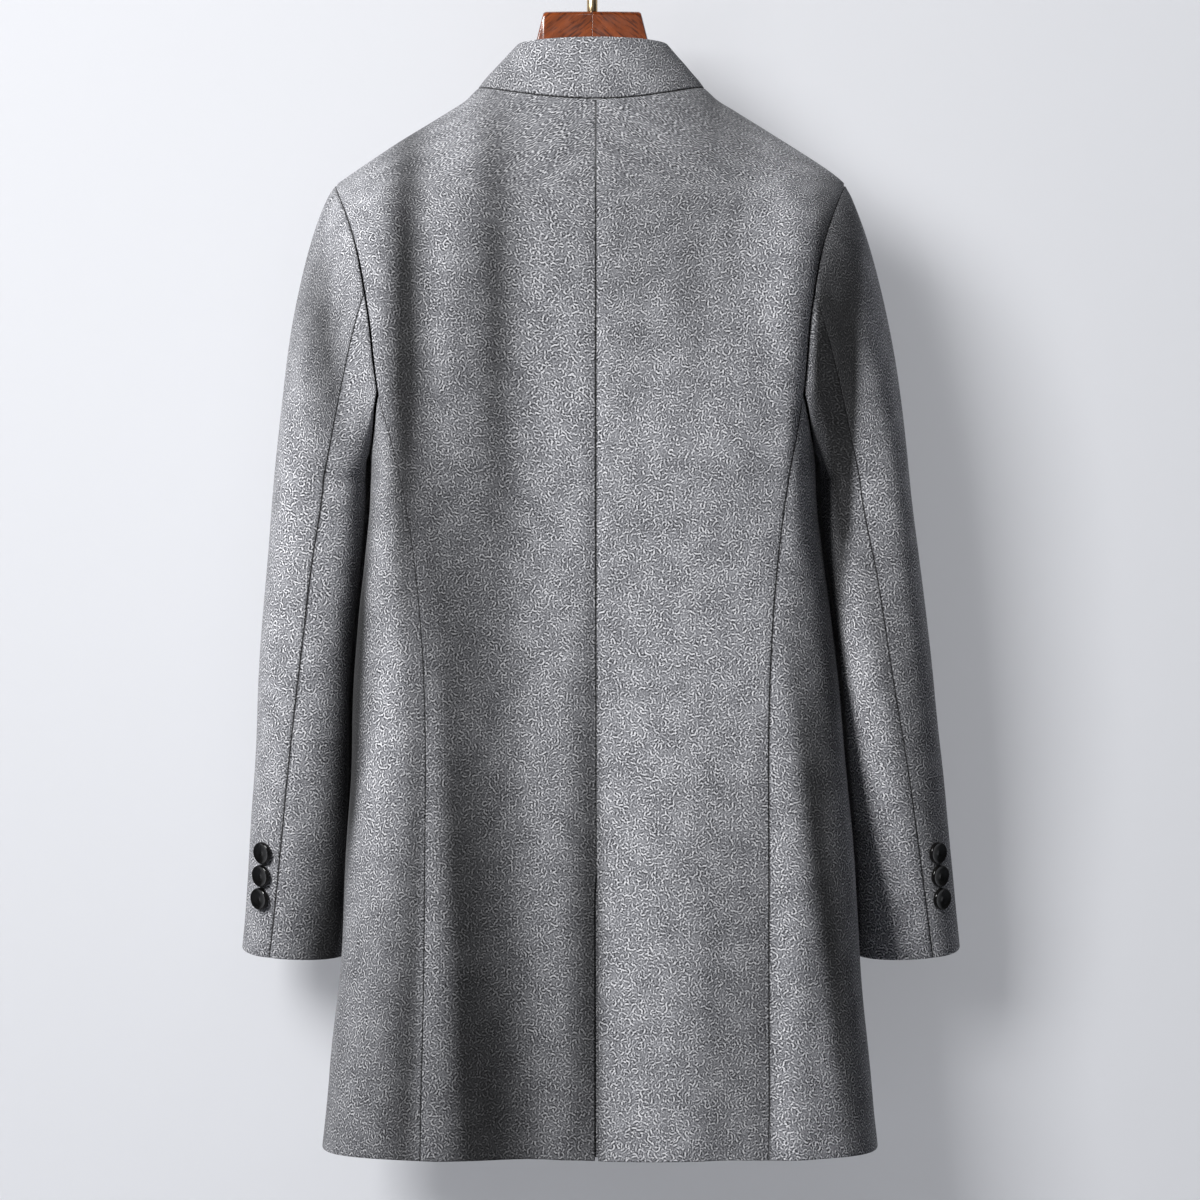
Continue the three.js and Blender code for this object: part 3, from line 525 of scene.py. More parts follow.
def cloth_piece(name, node, grid, axis=(0, 0), thickness=CLOTH, waves=WAVE_HEIGHT,
                edges=(SEAM, SEAM, SEAM, EDGE)):
    """edges are the first column, the last column, the top row and the bottom row."""
    number = len(WOOL_PIECES)
    across, along = lengths_along(grid, 1), lengths_along(grid, 0)
    distances = (across, across[:, -1:] - across, along, along[-1:] - along)
    normal, flip = normals_of(grid, axis)
    half = np.full(across.shape, thickness / 2)
    calm = np.ones(across.shape)
    inward = np.zeros(across.shape)
    painted_crease = np.zeros(across.shape)
    for edge, distance in zip(edges, distances):
        near = np.clip(distance / RIM, 0, 1)
        half = half * mix(RIM_SHARE, 1, np.sqrt(1 - (1 - near) ** 2))
        calm = calm * smooth(distance / CALM_EDGE)
        inward = inward + edge["dip"] * np.exp(-((distance / edge["reach"]) ** 2))
        # Painted shade: a dark line painted into the colour beside each seam.
        painted_crease = np.maximum(painted_crease, edge["shade"] * np.exp(-((distance / PAINTED_CREASE_WIDTH) ** 2)))
    middle = grid - normal * (thickness / 2 + inward)[..., None]
    middle = middle + normal * (calm * slow_waves(across, along, number, waves))[..., None]
    columns_first = middle.swapaxes(0, 1)
    views = (columns_first, columns_first, middle, middle)
    for edge, lines, rim, inner in zip(edges, views, (0, -1, 0, -1), (1, -2, 1, -2)):
        shift = lines[inner] - lines[rim]
        lines[rim] += edge["gap"] * shift / np.linalg.norm(shift, axis=-1, keepdims=True)
    outside = leaning(middle + normal * half[..., None])
    inside = leaning(middle - normal * half[..., None])
    rows, columns = across.shape
    faces = shell_faces(rows, columns, flip)
    mesh = bpy.data.meshes.new(name)
    places = np.concatenate([outside.reshape(-1, 3), inside.reshape(-1, 3)]) * MM
    mesh.from_pydata(places.tolist(), [], faces.tolist())
    u = across - across[:, columns // 2][:, None] + UV_STEP[0] * number
    v = along[-1:] - along + UV_STEP[1] * number
    uv = np.stack([u, v], axis=-1).reshape(-1, 2)
    uv = np.concatenate([uv, uv])[faces.reshape(-1)] * MM
    mesh.uv_layers.new(name="cut").data.foreach_set("uv", uv.reshape(-1))
    # Painted shade: the patches from the table, weaker on the front, the painted line beside the
    # seams and a painted darker inside face, carried to the material as an attribute.
    behind = smooth(0.5 - 1.6 * normal[..., 1])
    painted_shade = painted_shade_at(outside[..., 0], -outside[..., 2]) * mix(PAINTED_SHADE_IN_FRONT, 1, behind)
    painted_shade = np.clip(np.maximum(painted_shade, painted_crease), 0, DARKEST_PAINTED_SHADE)
    shade = np.concatenate([painted_shade.reshape(-1), np.full(painted_shade.size, PAINTED_SHADE_INSIDE)])
    mesh.attributes.new("painted_shade", "FLOAT", "POINT").data.foreach_set("value", shade)
    mesh.shade_smooth()
    piece = add_object(name, mesh)
    stand_for(piece, node)
    WOOL_PIECES.append(piece)


# %% [markdown]
# The back is cut in two halves with a seam down the middle, which ends in an open vent. The
# side panels carry the seams round from the back, and the two fronts overlap in the middle.
# Rows are spaced by their real drop, so that the folds are sampled evenly from top to hem.

# %% Back, side and front panels
def rows_between(first, last, step=4.2):
    rows = np.linspace(first, last, 3000)
    drops = edge_drop(rows)
    length = drops[-1] - drops[0]
    return np.interp(drops[0] + length * shares_across(length, step), drops, rows)


SIDES = {"left": -1, "right": 1}
trunk_rows = rows_between(0, HEM_ROW)
lower_rows = rows_between(FOOT_ROW, HEM_ROW)
for name, side in SIDES.items():
    grid = spaced_grid(lambda t, row: back_point(side, t, row), trunk_rows,
                       shares_across(*GRIDS["back"]))
    cloth_piece(f"cloth_back_{name}", f"back_{name}", grid)
    grid = spaced_grid(lambda t, row: side_panel_point(side, t, row), lower_rows,
                       shares_across(*GRIDS["side"]))
    cloth_piece(f"cloth_side_{name}", f"side_{name}", grid)
    grid = spaced_grid(lambda t, row: front_point(side, mix(-OVERLAP_SHARE, 1, t), row), trunk_rows,
                       shares_across(*GRIDS["front"]))
    cloth_piece(f"cloth_front_{name}", f"front_{name}", grid,
                edges=(EDGE, SEAM, SEAM, EDGE))

# %% [markdown]
# Behind the open vent lies the turned edge of the left back panel. It is a plain strip that
# follows the inside of the back, and it shows only as a dark slit.

# %% Vent underlap
STRIP_LEFT, STRIP_RIGHT, STRIP_TOP, STRIP_FOOT, STRIP_AIR = -14, 36, VENT_DROP + 10, 1027, 1.1


def underlap_point(t, drop):
    return face_point(BACK, mix(STRIP_LEFT, STRIP_RIGHT, t), drop)


strip_rows = mix(STRIP_TOP, STRIP_FOOT, shares_across(*GRIDS["strip_down"]))
strip = spaced_grid(underlap_point, strip_rows, shares_across(*GRIDS["strip"]))
strip = strip - normals_of(strip, (0, 0))[0] * (CLOTH + STRIP_AIR)
cloth_piece("cloth_vent_underlap", "vent_underlap", strip, waves=0,
            edges=[EDGE] * 4)

# %% [markdown]
# A coat sleeve is cut in two: a wide upper piece and a narrow under piece. The first ring of
# the sleeve is the armhole itself. From there the sleeve head swells over the shoulder and
# runs down to the upper arm, and the rest are level sections that swing forward to the cuff.

# %% Sleeve shapes
SLEEVE = table(
    "drop outer half_width middle half_depth",
    (470, 270, 41, 6, 66),
    (540, 277, 42, 5, 63),
    (613, 284.8, 43, 8, 60),
    (700, 292, 43.5, 18, 56),
    (784, 300, 45, 32, 52),
    (871, 309, 47, 47, 49),
)
SLEEVE_SEAMS = table(
    "ring hind fore",
    (1, 96, 236),
    (1.17, 90, 238),
    (1.36, 86, 240),
    (1.64, 76, 240),
    (2, 67, 238),
)
SLEEVE_FOLDS = table(
    "angle ring_from ring_to wide out",
    (101, 0.15, 1.35, 24, -5.5),
    (52, 0.3, 1.7, 26, 2.5),
    (285, 0.5, 1.6, 28, -4),
)
BICEP_DROP, CUFF_DROP, SLEEVE_SQUARE, SLEEVE_AIR = 470, 871, 2.3, 3.4
CUFF_TILT_ACROSS, CUFF_TILT_BEHIND = 0.04, 0.12
sleeve_curves = {name: curve_of(SLEEVE, name) for name in list(SLEEVE)[1:]}


def rounded(value):
    return np.sign(value) * np.abs(value) ** (2 / SLEEVE_SQUARE)


def clear_of_body(side, place):
    """Moves a sleeve's points out to the body's side line, with a few millimetres of air."""
    drop, behind = -place[..., 2], place[..., 1] < 0
    reach = np.where(behind, BACK["reach"](drop), FRONT["reach"](drop))
    square = np.where(behind, BACK["square"], FRONT["square"])
    share = np.clip(np.abs(place[..., 1]) / reach, 0, 1)
    body = body_half(drop) * (1 - share ** square) ** (1 / square)
    least = body + SLEEVE_AIR * smooth((drop - UNDERARM_DROP) / 12)
    out = side * place[..., 0]
    place[..., 0] = side * np.where(drop < UNDERARM_DROP, out, np.maximum(out, least))
    return place


def sleeve_section(side, angle, drop, tilted):
    turn = np.radians(angle)
    half_width = sleeve_curves["half_width"](drop)
    across = half_width * rounded(np.cos(turn))
    behind = sleeve_curves["half_depth"](drop) * rounded(np.sin(turn))
    x = sleeve_curves["outer"](drop) - half_width + across
    y = sleeve_curves["middle"](drop) - behind
    lift = tilted * (CUFF_TILT_ACROSS * across - CUFF_TILT_BEHIND * behind)
    return clear_of_body(side, points(side * x, y, -drop + lift))


# %% [markdown]
# The armhole is traced once round from the tip of the shoulder: down the back, under the arm
# and up the front. Its angles go by real length, so the sleeve is set in without a twist.

# %% The armhole and the sleeve surface
EDGE_STEPS, FOOT_STEPS, ARMHOLE_GAP = 90, 80, 0.25
HEAD_FORWARD, HEAD_SWELL, HEAD_RISE = 14, 10.5, 56


def armhole(side):
    down = np.linspace(TIP_ROW, FOOT_ROW, EDGE_STEPS)
    one = np.ones(EDGE_STEPS)
    foot = np.linspace(0, 1, FOOT_STEPS + 1)[1:-1]
    line = np.concatenate([
        back_point(side, one, down),
        side_panel_point(side, foot, np.full(len(foot), float(FOOT_ROW))),
        front_point(side, one, down[::-1]),
    ])
    run = lengths_along(line, 0)
    under = run[EDGE_STEPS + len(foot) // 2]
    beyond = (run - under) / (run[-1] - under)
    angle = np.where(run <= under, 180 * run / under, 180 + 180 * beyond)
    line[:, 0] += side * ARMHOLE_GAP
    hind = np.interp(HIND_ROW, down, angle[:EDGE_STEPS])
    fore = np.interp(-FORE_ROW, -down[::-1], angle[-EDGE_STEPS:])
    return {"line": line, "angle": angle, "hind": hind, "fore": fore}


def sleeve_point(side, hole, angle, ring):
    turn = np.radians(angle)
    start = np.stack([np.interp(angle % 360, hole["angle"], line) for line in hole["line"].T], -1)
    end = sleeve_section(side, angle, BICEP_DROP + 0 * angle, 0)
    top = ((1 + np.cos(turn)) / 2) ** 2
    control = (start + end) / 2
    control[..., 0] += side * HEAD_SWELL * top
    control[..., 1] -= HEAD_FORWARD * np.sin(turn)
    control[..., 2] += HEAD_RISE * top
    t = np.clip(ring, 0, 1)[..., None]
    head = clear_of_body(side, (1 - t) ** 2 * start + 2 * t * (1 - t) * control + t * t * end)
    below = np.clip(ring - 1, 0, 1)
    arm = sleeve_section(side, angle, mix(BICEP_DROP, CUFF_DROP, below), below)
    place = np.where(ring[..., None] > 1, arm, head)
    out = np.zeros(angle.shape)
    for middle, first, last, wide, depth in zip(*SLEEVE_FOLDS.values()):
        along = np.clip((ring - first) / (last - first), 0, 1)
        out += depth * np.sin(np.pi * along) * np.exp(-(((angle - middle) / wide) ** 2))
    place[..., 0] += side * out * np.cos(turn)
    place[..., 1] -= out * np.sin(turn)
    return place


# %% [markdown]
# Both halves of a sleeve share the hind and the fore seam, whose places round the sleeve are
# in the table of seams. The hind seam is the dark line that runs down the back of each arm.

# %% Sleeves
head_rings = shares_across(*GRIDS["head_down"])
arm_rings = 1 + (1 - shares_across(*GRIDS["arm_down"])[::-1])
head_rings = head_rings[head_rings < 0.985]
arm_rings = arm_rings[arm_rings > 1.0075]
sleeve_rings = np.concatenate([head_rings, [1], arm_rings])
SLEEVE_OF = {}
for name, side in SIDES.items():
    hole = armhole(side)
    SLEEVE_OF[name] = hole
    seams = {"ring": np.concatenate([[0], SLEEVE_SEAMS["ring"]])}
    for key in ("hind", "fore"):
        seams[key] = np.concatenate([[hole[key]], SLEEVE_SEAMS[key]])
    hind, fore = (curve_of(seams, key, key="ring") for key in ("hind", "fore"))
    for part, first, last in (
        ("upper", lambda ring: fore(ring) - 360, hind),
        ("under", hind, fore),
    ):
        grid = spaced_grid(
            lambda t, ring: sleeve_point(side, hole, mix(first(ring), last(ring), t), ring),
            sleeve_rings, shares_across(*GRIDS[part]),
        )
        cloth_piece(f"cloth_sleeve_{part}_{name}", f"sleeve_{part}_{name}", grid,
                    axis=(side * 235, 20))

# %% [markdown]
# The stand collar is one strip of double cloth. Its lower edge is sewn along the neckline,
# and its upper edge stands closer to the neck, level behind and dipping towards the front.

# %% Collar
COLLAR_HALF_WIDTH, COLLAR_REACH_BACK, COLLAR_REACH_FRONT = 63, -46, 60
COLLAR_DROP_BACK, COLLAR_DROP_FRONT, COLLAR_OPENING = 98.5, 160, 0.6


def collar_base(column):
    aside = np.abs(column)
    even = np.where(aside <= 1, aside, 2 - aside)
    row = np.zeros(column.shape)
    picks = []
    for side in (-1, 1):
        behind = (aside <= 1)[..., None]
        picks.append(np.where(behind, back_point(side, even, row), front_point(side, even, row)))
    return np.where((column < 0)[..., None], picks[0], picks[1])


def collar_top(column):
    aside = np.abs(column)
    share = 1 - (1 - np.where(aside <= 1, aside, 2 - aside)) ** 2
    reach = np.sqrt(1 - share * share)
    forward = np.where(aside <= 1, 0, reach)
    y = np.where(aside <= 1, COLLAR_REACH_BACK, COLLAR_REACH_FRONT) * reach
    drop = mix(COLLAR_DROP_BACK, COLLAR_DROP_FRONT, forward ** 1.3)
    return points(np.sign(column) * COLLAR_HALF_WIDTH * share, y, -drop)


def collar_point(t, down):
    column = 4 * t - 2
    place = mix(collar_top(column), collar_base(column), down[..., None])
    opening = np.clip(np.abs(column) * 10 - 19, 0, 1) * COLLAR_OPENING
    place[..., 0] += np.sign(column) * opening
    return place


collar_grid = spaced_grid(collar_point, shares_across(*GRIDS["collar_down"]),
                          shares_across(*GRIDS["collar"]))
cloth_piece("cloth_collar", "collar", collar_grid,
            axis=(0, 5), thickness=COLLAR_CLOTH, waves=0.3,
            edges=(EDGE, EDGE, EDGE, dict(SEAM, gap=0.5)))

# %% [markdown]
# The hard pieces are modelled as by hand: a primitive is placed, its faces are picked by where
# they lie or point, and they are inset, extruded and bevelled. An operator acts on everything
# that is selected, so these helpers clear the selection before they pick anything.

# %% Helpers for picking and shaping
def start_from(add, **values):
    bpy.ops.object.select_all(action="DESELECT")
    add(**values)
    return bpy.context.view_layer.objects.active


def pick(piece, kind, test):
    """Selects the faces whose middle and normal pass a test, or the edges whose ends do."""
    bpy.ops.object.mode_set(mode="EDIT")
    bpy.ops.mesh.select_mode(type=kind)
    bpy.ops.mesh.select_all(action="DESELECT")
    bpy.ops.object.mode_set(mode="OBJECT")
    mesh = piece.data
    if kind == "FACE":
        for face in mesh.polygons:
            face.select = bool(test(face.center / MM, face.normal))
    else:
        for edge in mesh.edges:
            a, b = (mesh.vertices[i].co / MM for i in edge.vertices)
            edge.select = bool(test(a, b))
    bpy.ops.object.mode_set(mode="EDIT")


def clean_up(threshold):
    bpy.ops.mesh.select_all(action="SELECT")
    bpy.ops.mesh.remove_doubles(threshold=threshold * MM)
    bpy.ops.mesh.normals_make_consistent(inside=False)


def finish_shape(piece, crisp, kind, **settings):
    """Applies one modifier, and keeps the edges that turn by more than so many degrees crisp."""
    bpy.ops.object.mode_set(mode="OBJECT")
    bpy.ops.object.select_all(action="DESELECT")
    bpy.context.view_layer.objects.active = piece
    piece.select_set(True)
    modifier = piece.modifiers.new(kind.lower(), kind)
    for key, value in settings.items():
        setattr(modifier, key, value)
    bpy.ops.object.modifier_apply(modifier=modifier.name)
    bpy.ops.object.shade_smooth_by_angle(angle=math.radians(crisp))


def settle(piece, name, node, matrix=None):
    """Puts a finished piece's place into its mesh, names it and lets it stand for its solid."""
    placed = piece.matrix_world.copy() if matrix is None else matrix @ piece.matrix_world
    piece.data.transform(placed)
    piece.matrix_world = Matrix.Identity(4)
    piece.name = piece.data.name = name
    stand_for(piece, node)
    return piece


# %% [markdown]
# The buttons are turned from black horn and polished: a thick disc with a low raised rim, a
# dished face and a small dimple in the middle. One is shaped from a cylinder, and the rest are
# copies of it, because all buttons of a coat come from one set in two sizes.

# %% One button
# Rings of the face from the rim inwards: how wide, and how far out of the ring before, as
# shares of the radius
FACE_RINGS = [(0.045, 0), (0.085, 0), (0.07, -0.06), (0.35, -0.035), (0.33, -0.012), (0.045, -0.05)]
BUTTON_DEPTH, FOOT_RING, FOOT_SIZE, FOOT_DROP, BUTTON_ROUND = 0.42, 0.16, 0.97, 0.0001, 0.13

button = start_from(bpy.ops.mesh.primitive_cylinder_add, vertices=64, radius=1 * MM,
                    depth=BUTTON_DEPTH * MM, end_fill_type="NGON")
pick(button, "FACE", lambda middle, normal: normal.z > 0.9)
for width, out in FACE_RINGS:
    bpy.ops.mesh.inset(thickness=width * MM, depth=out * MM)
pick(button, "FACE", lambda middle, normal: normal.z < -0.9)
bpy.ops.mesh.inset(thickness=FOOT_RING * MM)
bpy.ops.transform.resize(value=(FOOT_SIZE, FOOT_SIZE, 1))
bpy.ops.transform.translate(value=(0, 0, -FOOT_DROP * MM))
pick(button, "EDGE",
     lambda a, b: abs(a.z - b.z) < 0.001 and min(a.xy.length, b.xy.length) > 0.98)
bpy.ops.mesh.bevel(offset=BUTTON_ROUND * MM, segments=4, affect="EDGES")
finish_shape(button, 50, "SUBSURF", levels=1, render_levels=1)
print("button:", len(button.data.polygons), "faces")

# %% [markdown]
# Three buttons sit in a row on each cuff, just touching, and face out and back as the sleeve
# does there. The solids say where each one lies, and the sleeve's slope says how it is turned.

# %% Cuff and front buttons
CUFF_RADIUS, FRONT_RADIUS, FRONT_BUTTONS = 9.5, 12.5, 5
CUFF_BUTTON_DROPS, CUFF_BUTTON_ANGLE = (782, 801.6, 821.2), 52


def slope_of(point, u, v, step=0.01):
    u, v = np.array([u - step, u + step, u, u]), np.array([v, v, v - step, v + step])
    places = leaning(point(u, v))
    return Vector(np.cross(places[1] - places[0], places[3] - places[2])).normalized()


def middle_of(node):
    low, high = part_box(node)
    return (Vector(low) + Vector(high)) / 2


def add_button(node, radius, normal):
    copy = add_object(node, button.data.copy())
    turn = normal.to_track_quat("Z", "Y").to_matrix().to_4x4()
    place = Matrix.Translation(middle_of(node)) @ turn @ Matrix.Scale(radius, 4)
    HORN_PIECES.append(settle(copy, f"horn_{node}", node, place))


HORN_PIECES = []
for name, side in SIDES.items():
    hole = SLEEVE_OF[name]
    for number, drop in enumerate(CUFF_BUTTON_DROPS, start=1):
        ring = 1 + (drop - BICEP_DROP) / (CUFF_DROP - BICEP_DROP)
        normal = slope_of(lambda a, r: sleeve_point(side, hole, a, r), CUFF_BUTTON_ANGLE, ring)
        normal = normal if normal.x * side > 0 else -normal
        add_button(f"cuff_button_{name}_{number}", CUFF_RADIUS, normal)
for number in range(1, FRONT_BUTTONS + 1):
    node = f"front_button_{number}"
    place = middle_of(node) / MM
    normal = slope_of(lambda x, drop: face_point(FRONT, x, drop), place.x, -place.z, step=4)
    add_button(node, FRONT_RADIUS, normal if normal.y > 0 else -normal)
bpy.data.objects.remove(button)
print("buttons:", len(HORN_PIECES))

# %% [markdown]
# The hanger is of lacquered hardwood, in two halves glued in the middle. Each half starts as
# one upright section at the joint, which is extruded outwards section by section while its
# height and depth change. The long edges get a wide soft bevel, as a spindle moulder leaves it,
# but the flat top of the neck keeps a narrow one.

# %% Hanger halves
HANGER = table(
    "x top bottom half_depth",
    (0, 71.5, 134, 9),
    (20, 71.5, 133, 9),
    (39.4, 71.7, 134, 9),
    (41.4, 72.8, 136, 9),
    (42.4, 76, 137, 9),
    (47, 94.5, 140, 9.5),
    (54, 106, 146, 10),
    (68, 117.5, 152, 10.5),
    (84, 129, 162, 11),
    (97, 142, 173, 11.5),
)
HANGER_SHIFT, HANGER_JOINT, HANGER_AIR = -3.2, 0.02, 1.1
ARM_FROM, ARM_TO, ARM_SECTIONS, ARM_HEIGHTS, ARM_DEPTHS = 112, 199, 9, (30, 26), (12, 15.5)
NECK_END, WOOD_BEVEL, NECK_BEVEL, JOINT_BEVEL = 41, 6, 0.28, 0.06


def hanger_rows():
    rows = [list(row) for row in zip(*HANGER.values())]
    for share in np.linspace(0, 1, ARM_SECTIONS):
        x = mix(ARM_FROM, ARM_TO, share)
        slope = shoulder_drop(x + 1) - shoulder_drop(x)
        top = shoulder_drop(x) + CLOTH * math.hypot(1, slope) + HANGER_AIR
        rows.append([x, top, top + mix(*ARM_HEIGHTS, share), mix(*ARM_DEPTHS, smooth(share))])
    rows[0][0] = HANGER_JOINT
    return rows


def weigh_edges(piece, change, test):
    pick(piece, "EDGE", lambda a, b: test(*sorted((abs(a.x), abs(b.x)))))
    bpy.ops.transform.edge_bevelweight(value=change)


def hanger_half(name, side):
    rows = hanger_rows()
    x, top, bottom, half = rows[0]
    piece = start_from(bpy.ops.mesh.primitive_plane_add, size=1 * MM,
                       rotation=(0, math.pi / 2, 0))
    piece.data.transform(piece.matrix_world)
    piece.matrix_world = Matrix.Identity(4)
    bpy.ops.object.mode_set(mode="EDIT")
    bpy.ops.mesh.select_all(action="SELECT")
    bpy.ops.transform.resize(value=(1, 2 * half, bottom - top), center_override=(0, 0, 0))
    bpy.ops.transform.translate(value=(side * x * MM, 0, -(top + bottom) / 2 * MM))
    bpy.ops.mesh.duplicate()
    for (x0, top0, bottom0, half0), (x, top, bottom, half) in zip(rows, rows[1:]):
        shift = Vector((side * (x - x0), 0, (top0 + bottom0 - top - bottom) / 2)) * MM
        bpy.ops.mesh.extrude_region_move(TRANSFORM_OT_translate={"value": shift})
        middle = (side * x * MM, 0, -(top + bottom) / 2 * MM)
        size = (1, half / half0, (bottom - top) / (bottom0 - top0))
        bpy.ops.transform.resize(value=size, center_override=middle)
    clean_up(0.001)
    weigh_edges(piece, 1, lambda near, far: far - near > 0.5)
    weigh_edges(piece, NECK_BEVEL - 1, lambda near, far: far - near > 0.5 and far < NECK_END)
    weigh_edges(piece, 1, lambda near, far: near > ARM_TO - 0.1)
    weigh_edges(piece, JOINT_BEVEL, lambda near, far: far < 0.2)
    bpy.ops.mesh.select_all(action="SELECT")
    bpy.ops.transform.translate(value=(HANGER_SHIFT * MM, 0, 0))
    finish_shape(piece, 40, "BEVEL", width=WOOD_BEVEL * MM, segments=5, limit_method="WEIGHT")
    return settle(piece, f"wood_half_{name}", f"hanger_{name}")


WOOD_PIECES = [hanger_half(name, side) for name, side in SIDES.items()]
print("hanger:", [len(piece.data.polygons) for piece in WOOD_PIECES], "faces")

# %% [markdown]
# A brass rod carries the hanger. Its thick foot is a turned ferrule, made from a cylinder with
# a small round boss on top. The hook above it is a round wire: a circle is extruded up the
# shank, spun a little to one side, and then spun back over the crown in one round sweep.

# %% Ferrule and hook
FERRULE_RADIUS, FERRULE_HEIGHT, FERRULE_Z = 4.5, 15, -63.7
WIRE, CROWN_Z, SHANK_FOOT, SHANK_RISE = 3, -18, -55.9, 3.2
BEND_RADIUS, HOOK_RADIUS, LEAN_OUT, SWEEP = 6, 21, math.radians(35), math.radians(250)


def extrude_up(x, z):
    shift = (x * MM, 0, z * MM)
    bpy.ops.mesh.extrude_region_move(TRANSFORM_OT_translate={"value": shift})


ferrule = start_from(bpy.ops.mesh.primitive_cylinder_add, vertices=56, radius=FERRULE_RADIUS * MM,
                     depth=FERRULE_HEIGHT * MM, location=(HANGER_SHIFT * MM, 0, FERRULE_Z * MM))
pick(ferrule, "FACE", lambda middle, normal: normal.z > 0.9)
bpy.ops.mesh.inset(thickness=0.9 * MM)
bpy.ops.mesh.inset(thickness=0.35 * MM, depth=-0.4 * MM)
finish_shape(ferrule, 40, "BEVEL", width=0.5 * MM, segments=3, limit_method="ANGLE",
             angle_limit=math.radians(40))
settle(ferrule, "brass_ferrule", "hook_ferrule")

hook = start_from(bpy.ops.mesh.primitive_circle_add, vertices=28, radius=WIRE * MM,
                  fill_type="NGON", location=(HANGER_SHIFT * MM, 0, SHANK_FOOT * MM))
bpy.ops.object.mode_set(mode="EDIT")
bpy.ops.mesh.select_all(action="SELECT")
extrude_up(0, SHANK_RISE)
bend_x, bend_z = HANGER_SHIFT - BEND_RADIUS, SHANK_FOOT + SHANK_RISE
bpy.ops.mesh.spin(steps=8, angle=LEAN_OUT, center=(bend_x * MM, 0, bend_z * MM), axis=(0, -1, 0))
extrude_up(-(HOOK_RADIUS + BEND_RADIUS) * math.cos(LEAN_OUT) - bend_x,
           CROWN_Z - (HOOK_RADIUS + BEND_RADIUS) * math.sin(LEAN_OUT) - bend_z)
bpy.ops.mesh.spin(steps=64, angle=SWEEP, center=(0, 0, CROWN_Z * MM), axis=(0, 1, 0))
clean_up(0.01)
finish_shape(hook, 40, "BEVEL", width=0.9 * MM, segments=3, limit_method="ANGLE",
             angle_limit=math.radians(60))
settle(hook, "brass_hook", "hook")
BRASS_PIECES = [ferrule, hook]
print("ferrule and hook:", [len(piece.data.polygons) for piece in BRASS_PIECES], "faces")

# %% [markdown]
# The finishes come next. Small helpers add nodes and link them, so that each material below
# reads as a list of steps. In each of them a value may be a number or another node's output.

# %% Helpers for materials
FLOAT, VECTOR = "NodeSocketFloat", "NodeSocketVector"


def put(tree, socket, value):
    if isinstance(value, bpy.types.NodeSocket):
        tree.links.new(value, socket)
    else:
        socket.default_value = value


def feed(tree, node, **values):
    for key, value in values.items():
        put(tree, node.inputs[key.replace("_", " ")], value)


def add_node(tree, kind, **values):
    """Adds a node. A value goes to the input of that name, or else to the node's own setting."""
    node = tree.nodes.new(kind)
    for key, value in values.items():
        socket = node.inputs.get(key.replace("_", " "))
        if socket is None:
            setattr(node, key, value)
        else:
            put(tree, socket, value)
    return node


def calc(tree, operation, *values, kind="ShaderNodeMath"):
    node = add_node(tree, kind, operation=operation)
    for socket, value in zip(node.inputs, values):
        put(tree, socket, value)
    return node.outputs[0]


def calc_vector(tree, operation, *values):
    return calc(tree, operation, *values, kind="ShaderNodeVectorMath")


def noise(tree, where, scale, detail, **values):
    node = add_node(tree, "ShaderNodeTexNoise", Vector=where, Scale=scale, Detail=detail, **values)
    return node.outputs[0]


def ramp_of(tree, source, *stops):
    ramp = add_node(tree, "ShaderNodeValToRGB", Fac=source)
    for _ in stops[2:]:
        ramp.color_ramp.elements.new(0.5)
    for element, (place, colour) in zip(ramp.color_ramp.elements, stops):
        element.position = place
        element.color = (*colour, 1)
    return ramp.outputs[0]


def new_group(name, inputs, outputs):
    group = bpy.data.node_groups.new(name, "ShaderNodeTree")
    for way, sockets in (("INPUT", inputs), ("OUTPUT", outputs)):
        for label, kind in sockets.items():
            group.interface.new_socket(label, in_out=way, socket_type=kind)
    return group, group.nodes.new("NodeGroupInput").outputs, group.nodes.new("NodeGroupOutput")


def place_group(tree, group, **values):
    return add_node(tree, "ShaderNodeGroup", node_tree=group, **values).outputs


def new_material(name, **values):
    material = bpy.data.materials.new(name)
    material.use_nodes = True
    shader = material.node_tree.nodes["Principled BSDF"]
    feed(material.node_tree, shader, **values)
    return material, material.node_tree, shader


def emboss(tree, shader, height, strength, depth):
    bump = add_node(tree, "ShaderNodeBump", Height=height, Strength=strength, Distance=depth * MM)
    feed(tree, shader, Normal=bump.outputs[0])


def object_place(tree):
    return add_node(tree, "ShaderNodeTexCoord").outputs["Object"]


def finish_pieces(pieces, material):
    for piece in pieces:
        piece.data.materials.clear()
        piece.data.materials.append(material)
    print(material.name, "on", len(pieces), "pieces")


# %% [markdown]
# Seen close to, the cloth is a felt of short curly fibres, light ones and dark ones, that lie
# every way. Each layer of the group splits the cloth into small cells and draws one bent tuft
# of fibres in each cell, a light line between two dark ones, turned by the cell's own random
# number. Five layers overlap, and a fine fuzz fills the ground between them.

# %% Felted fibres, as a group
fibres, given, result = new_group(
    "felted fibres",
    {"Cloth": VECTOR, "Tufts Per Metre": FLOAT, "Fuzz": FLOAT},
    {"Fibres": FLOAT, "Loose Fuzz": FLOAT},
)
# Cells against the stated number, shift in metres, lines to a cell, weight
TUFTS = [(1.00, 0.00, 2.0, 1.0), (1.15, 0.37, 1.9, 0.9), (1.35, 0.71, 1.8, 0.8),
         (0.90, 1.13, 2.2, 1.0), (1.60, 1.59, 1.7, 0.7)]
CURL, FADE, FAINTEST, STRENGTHS = 0.9, 3.2, 0.3, 1.1


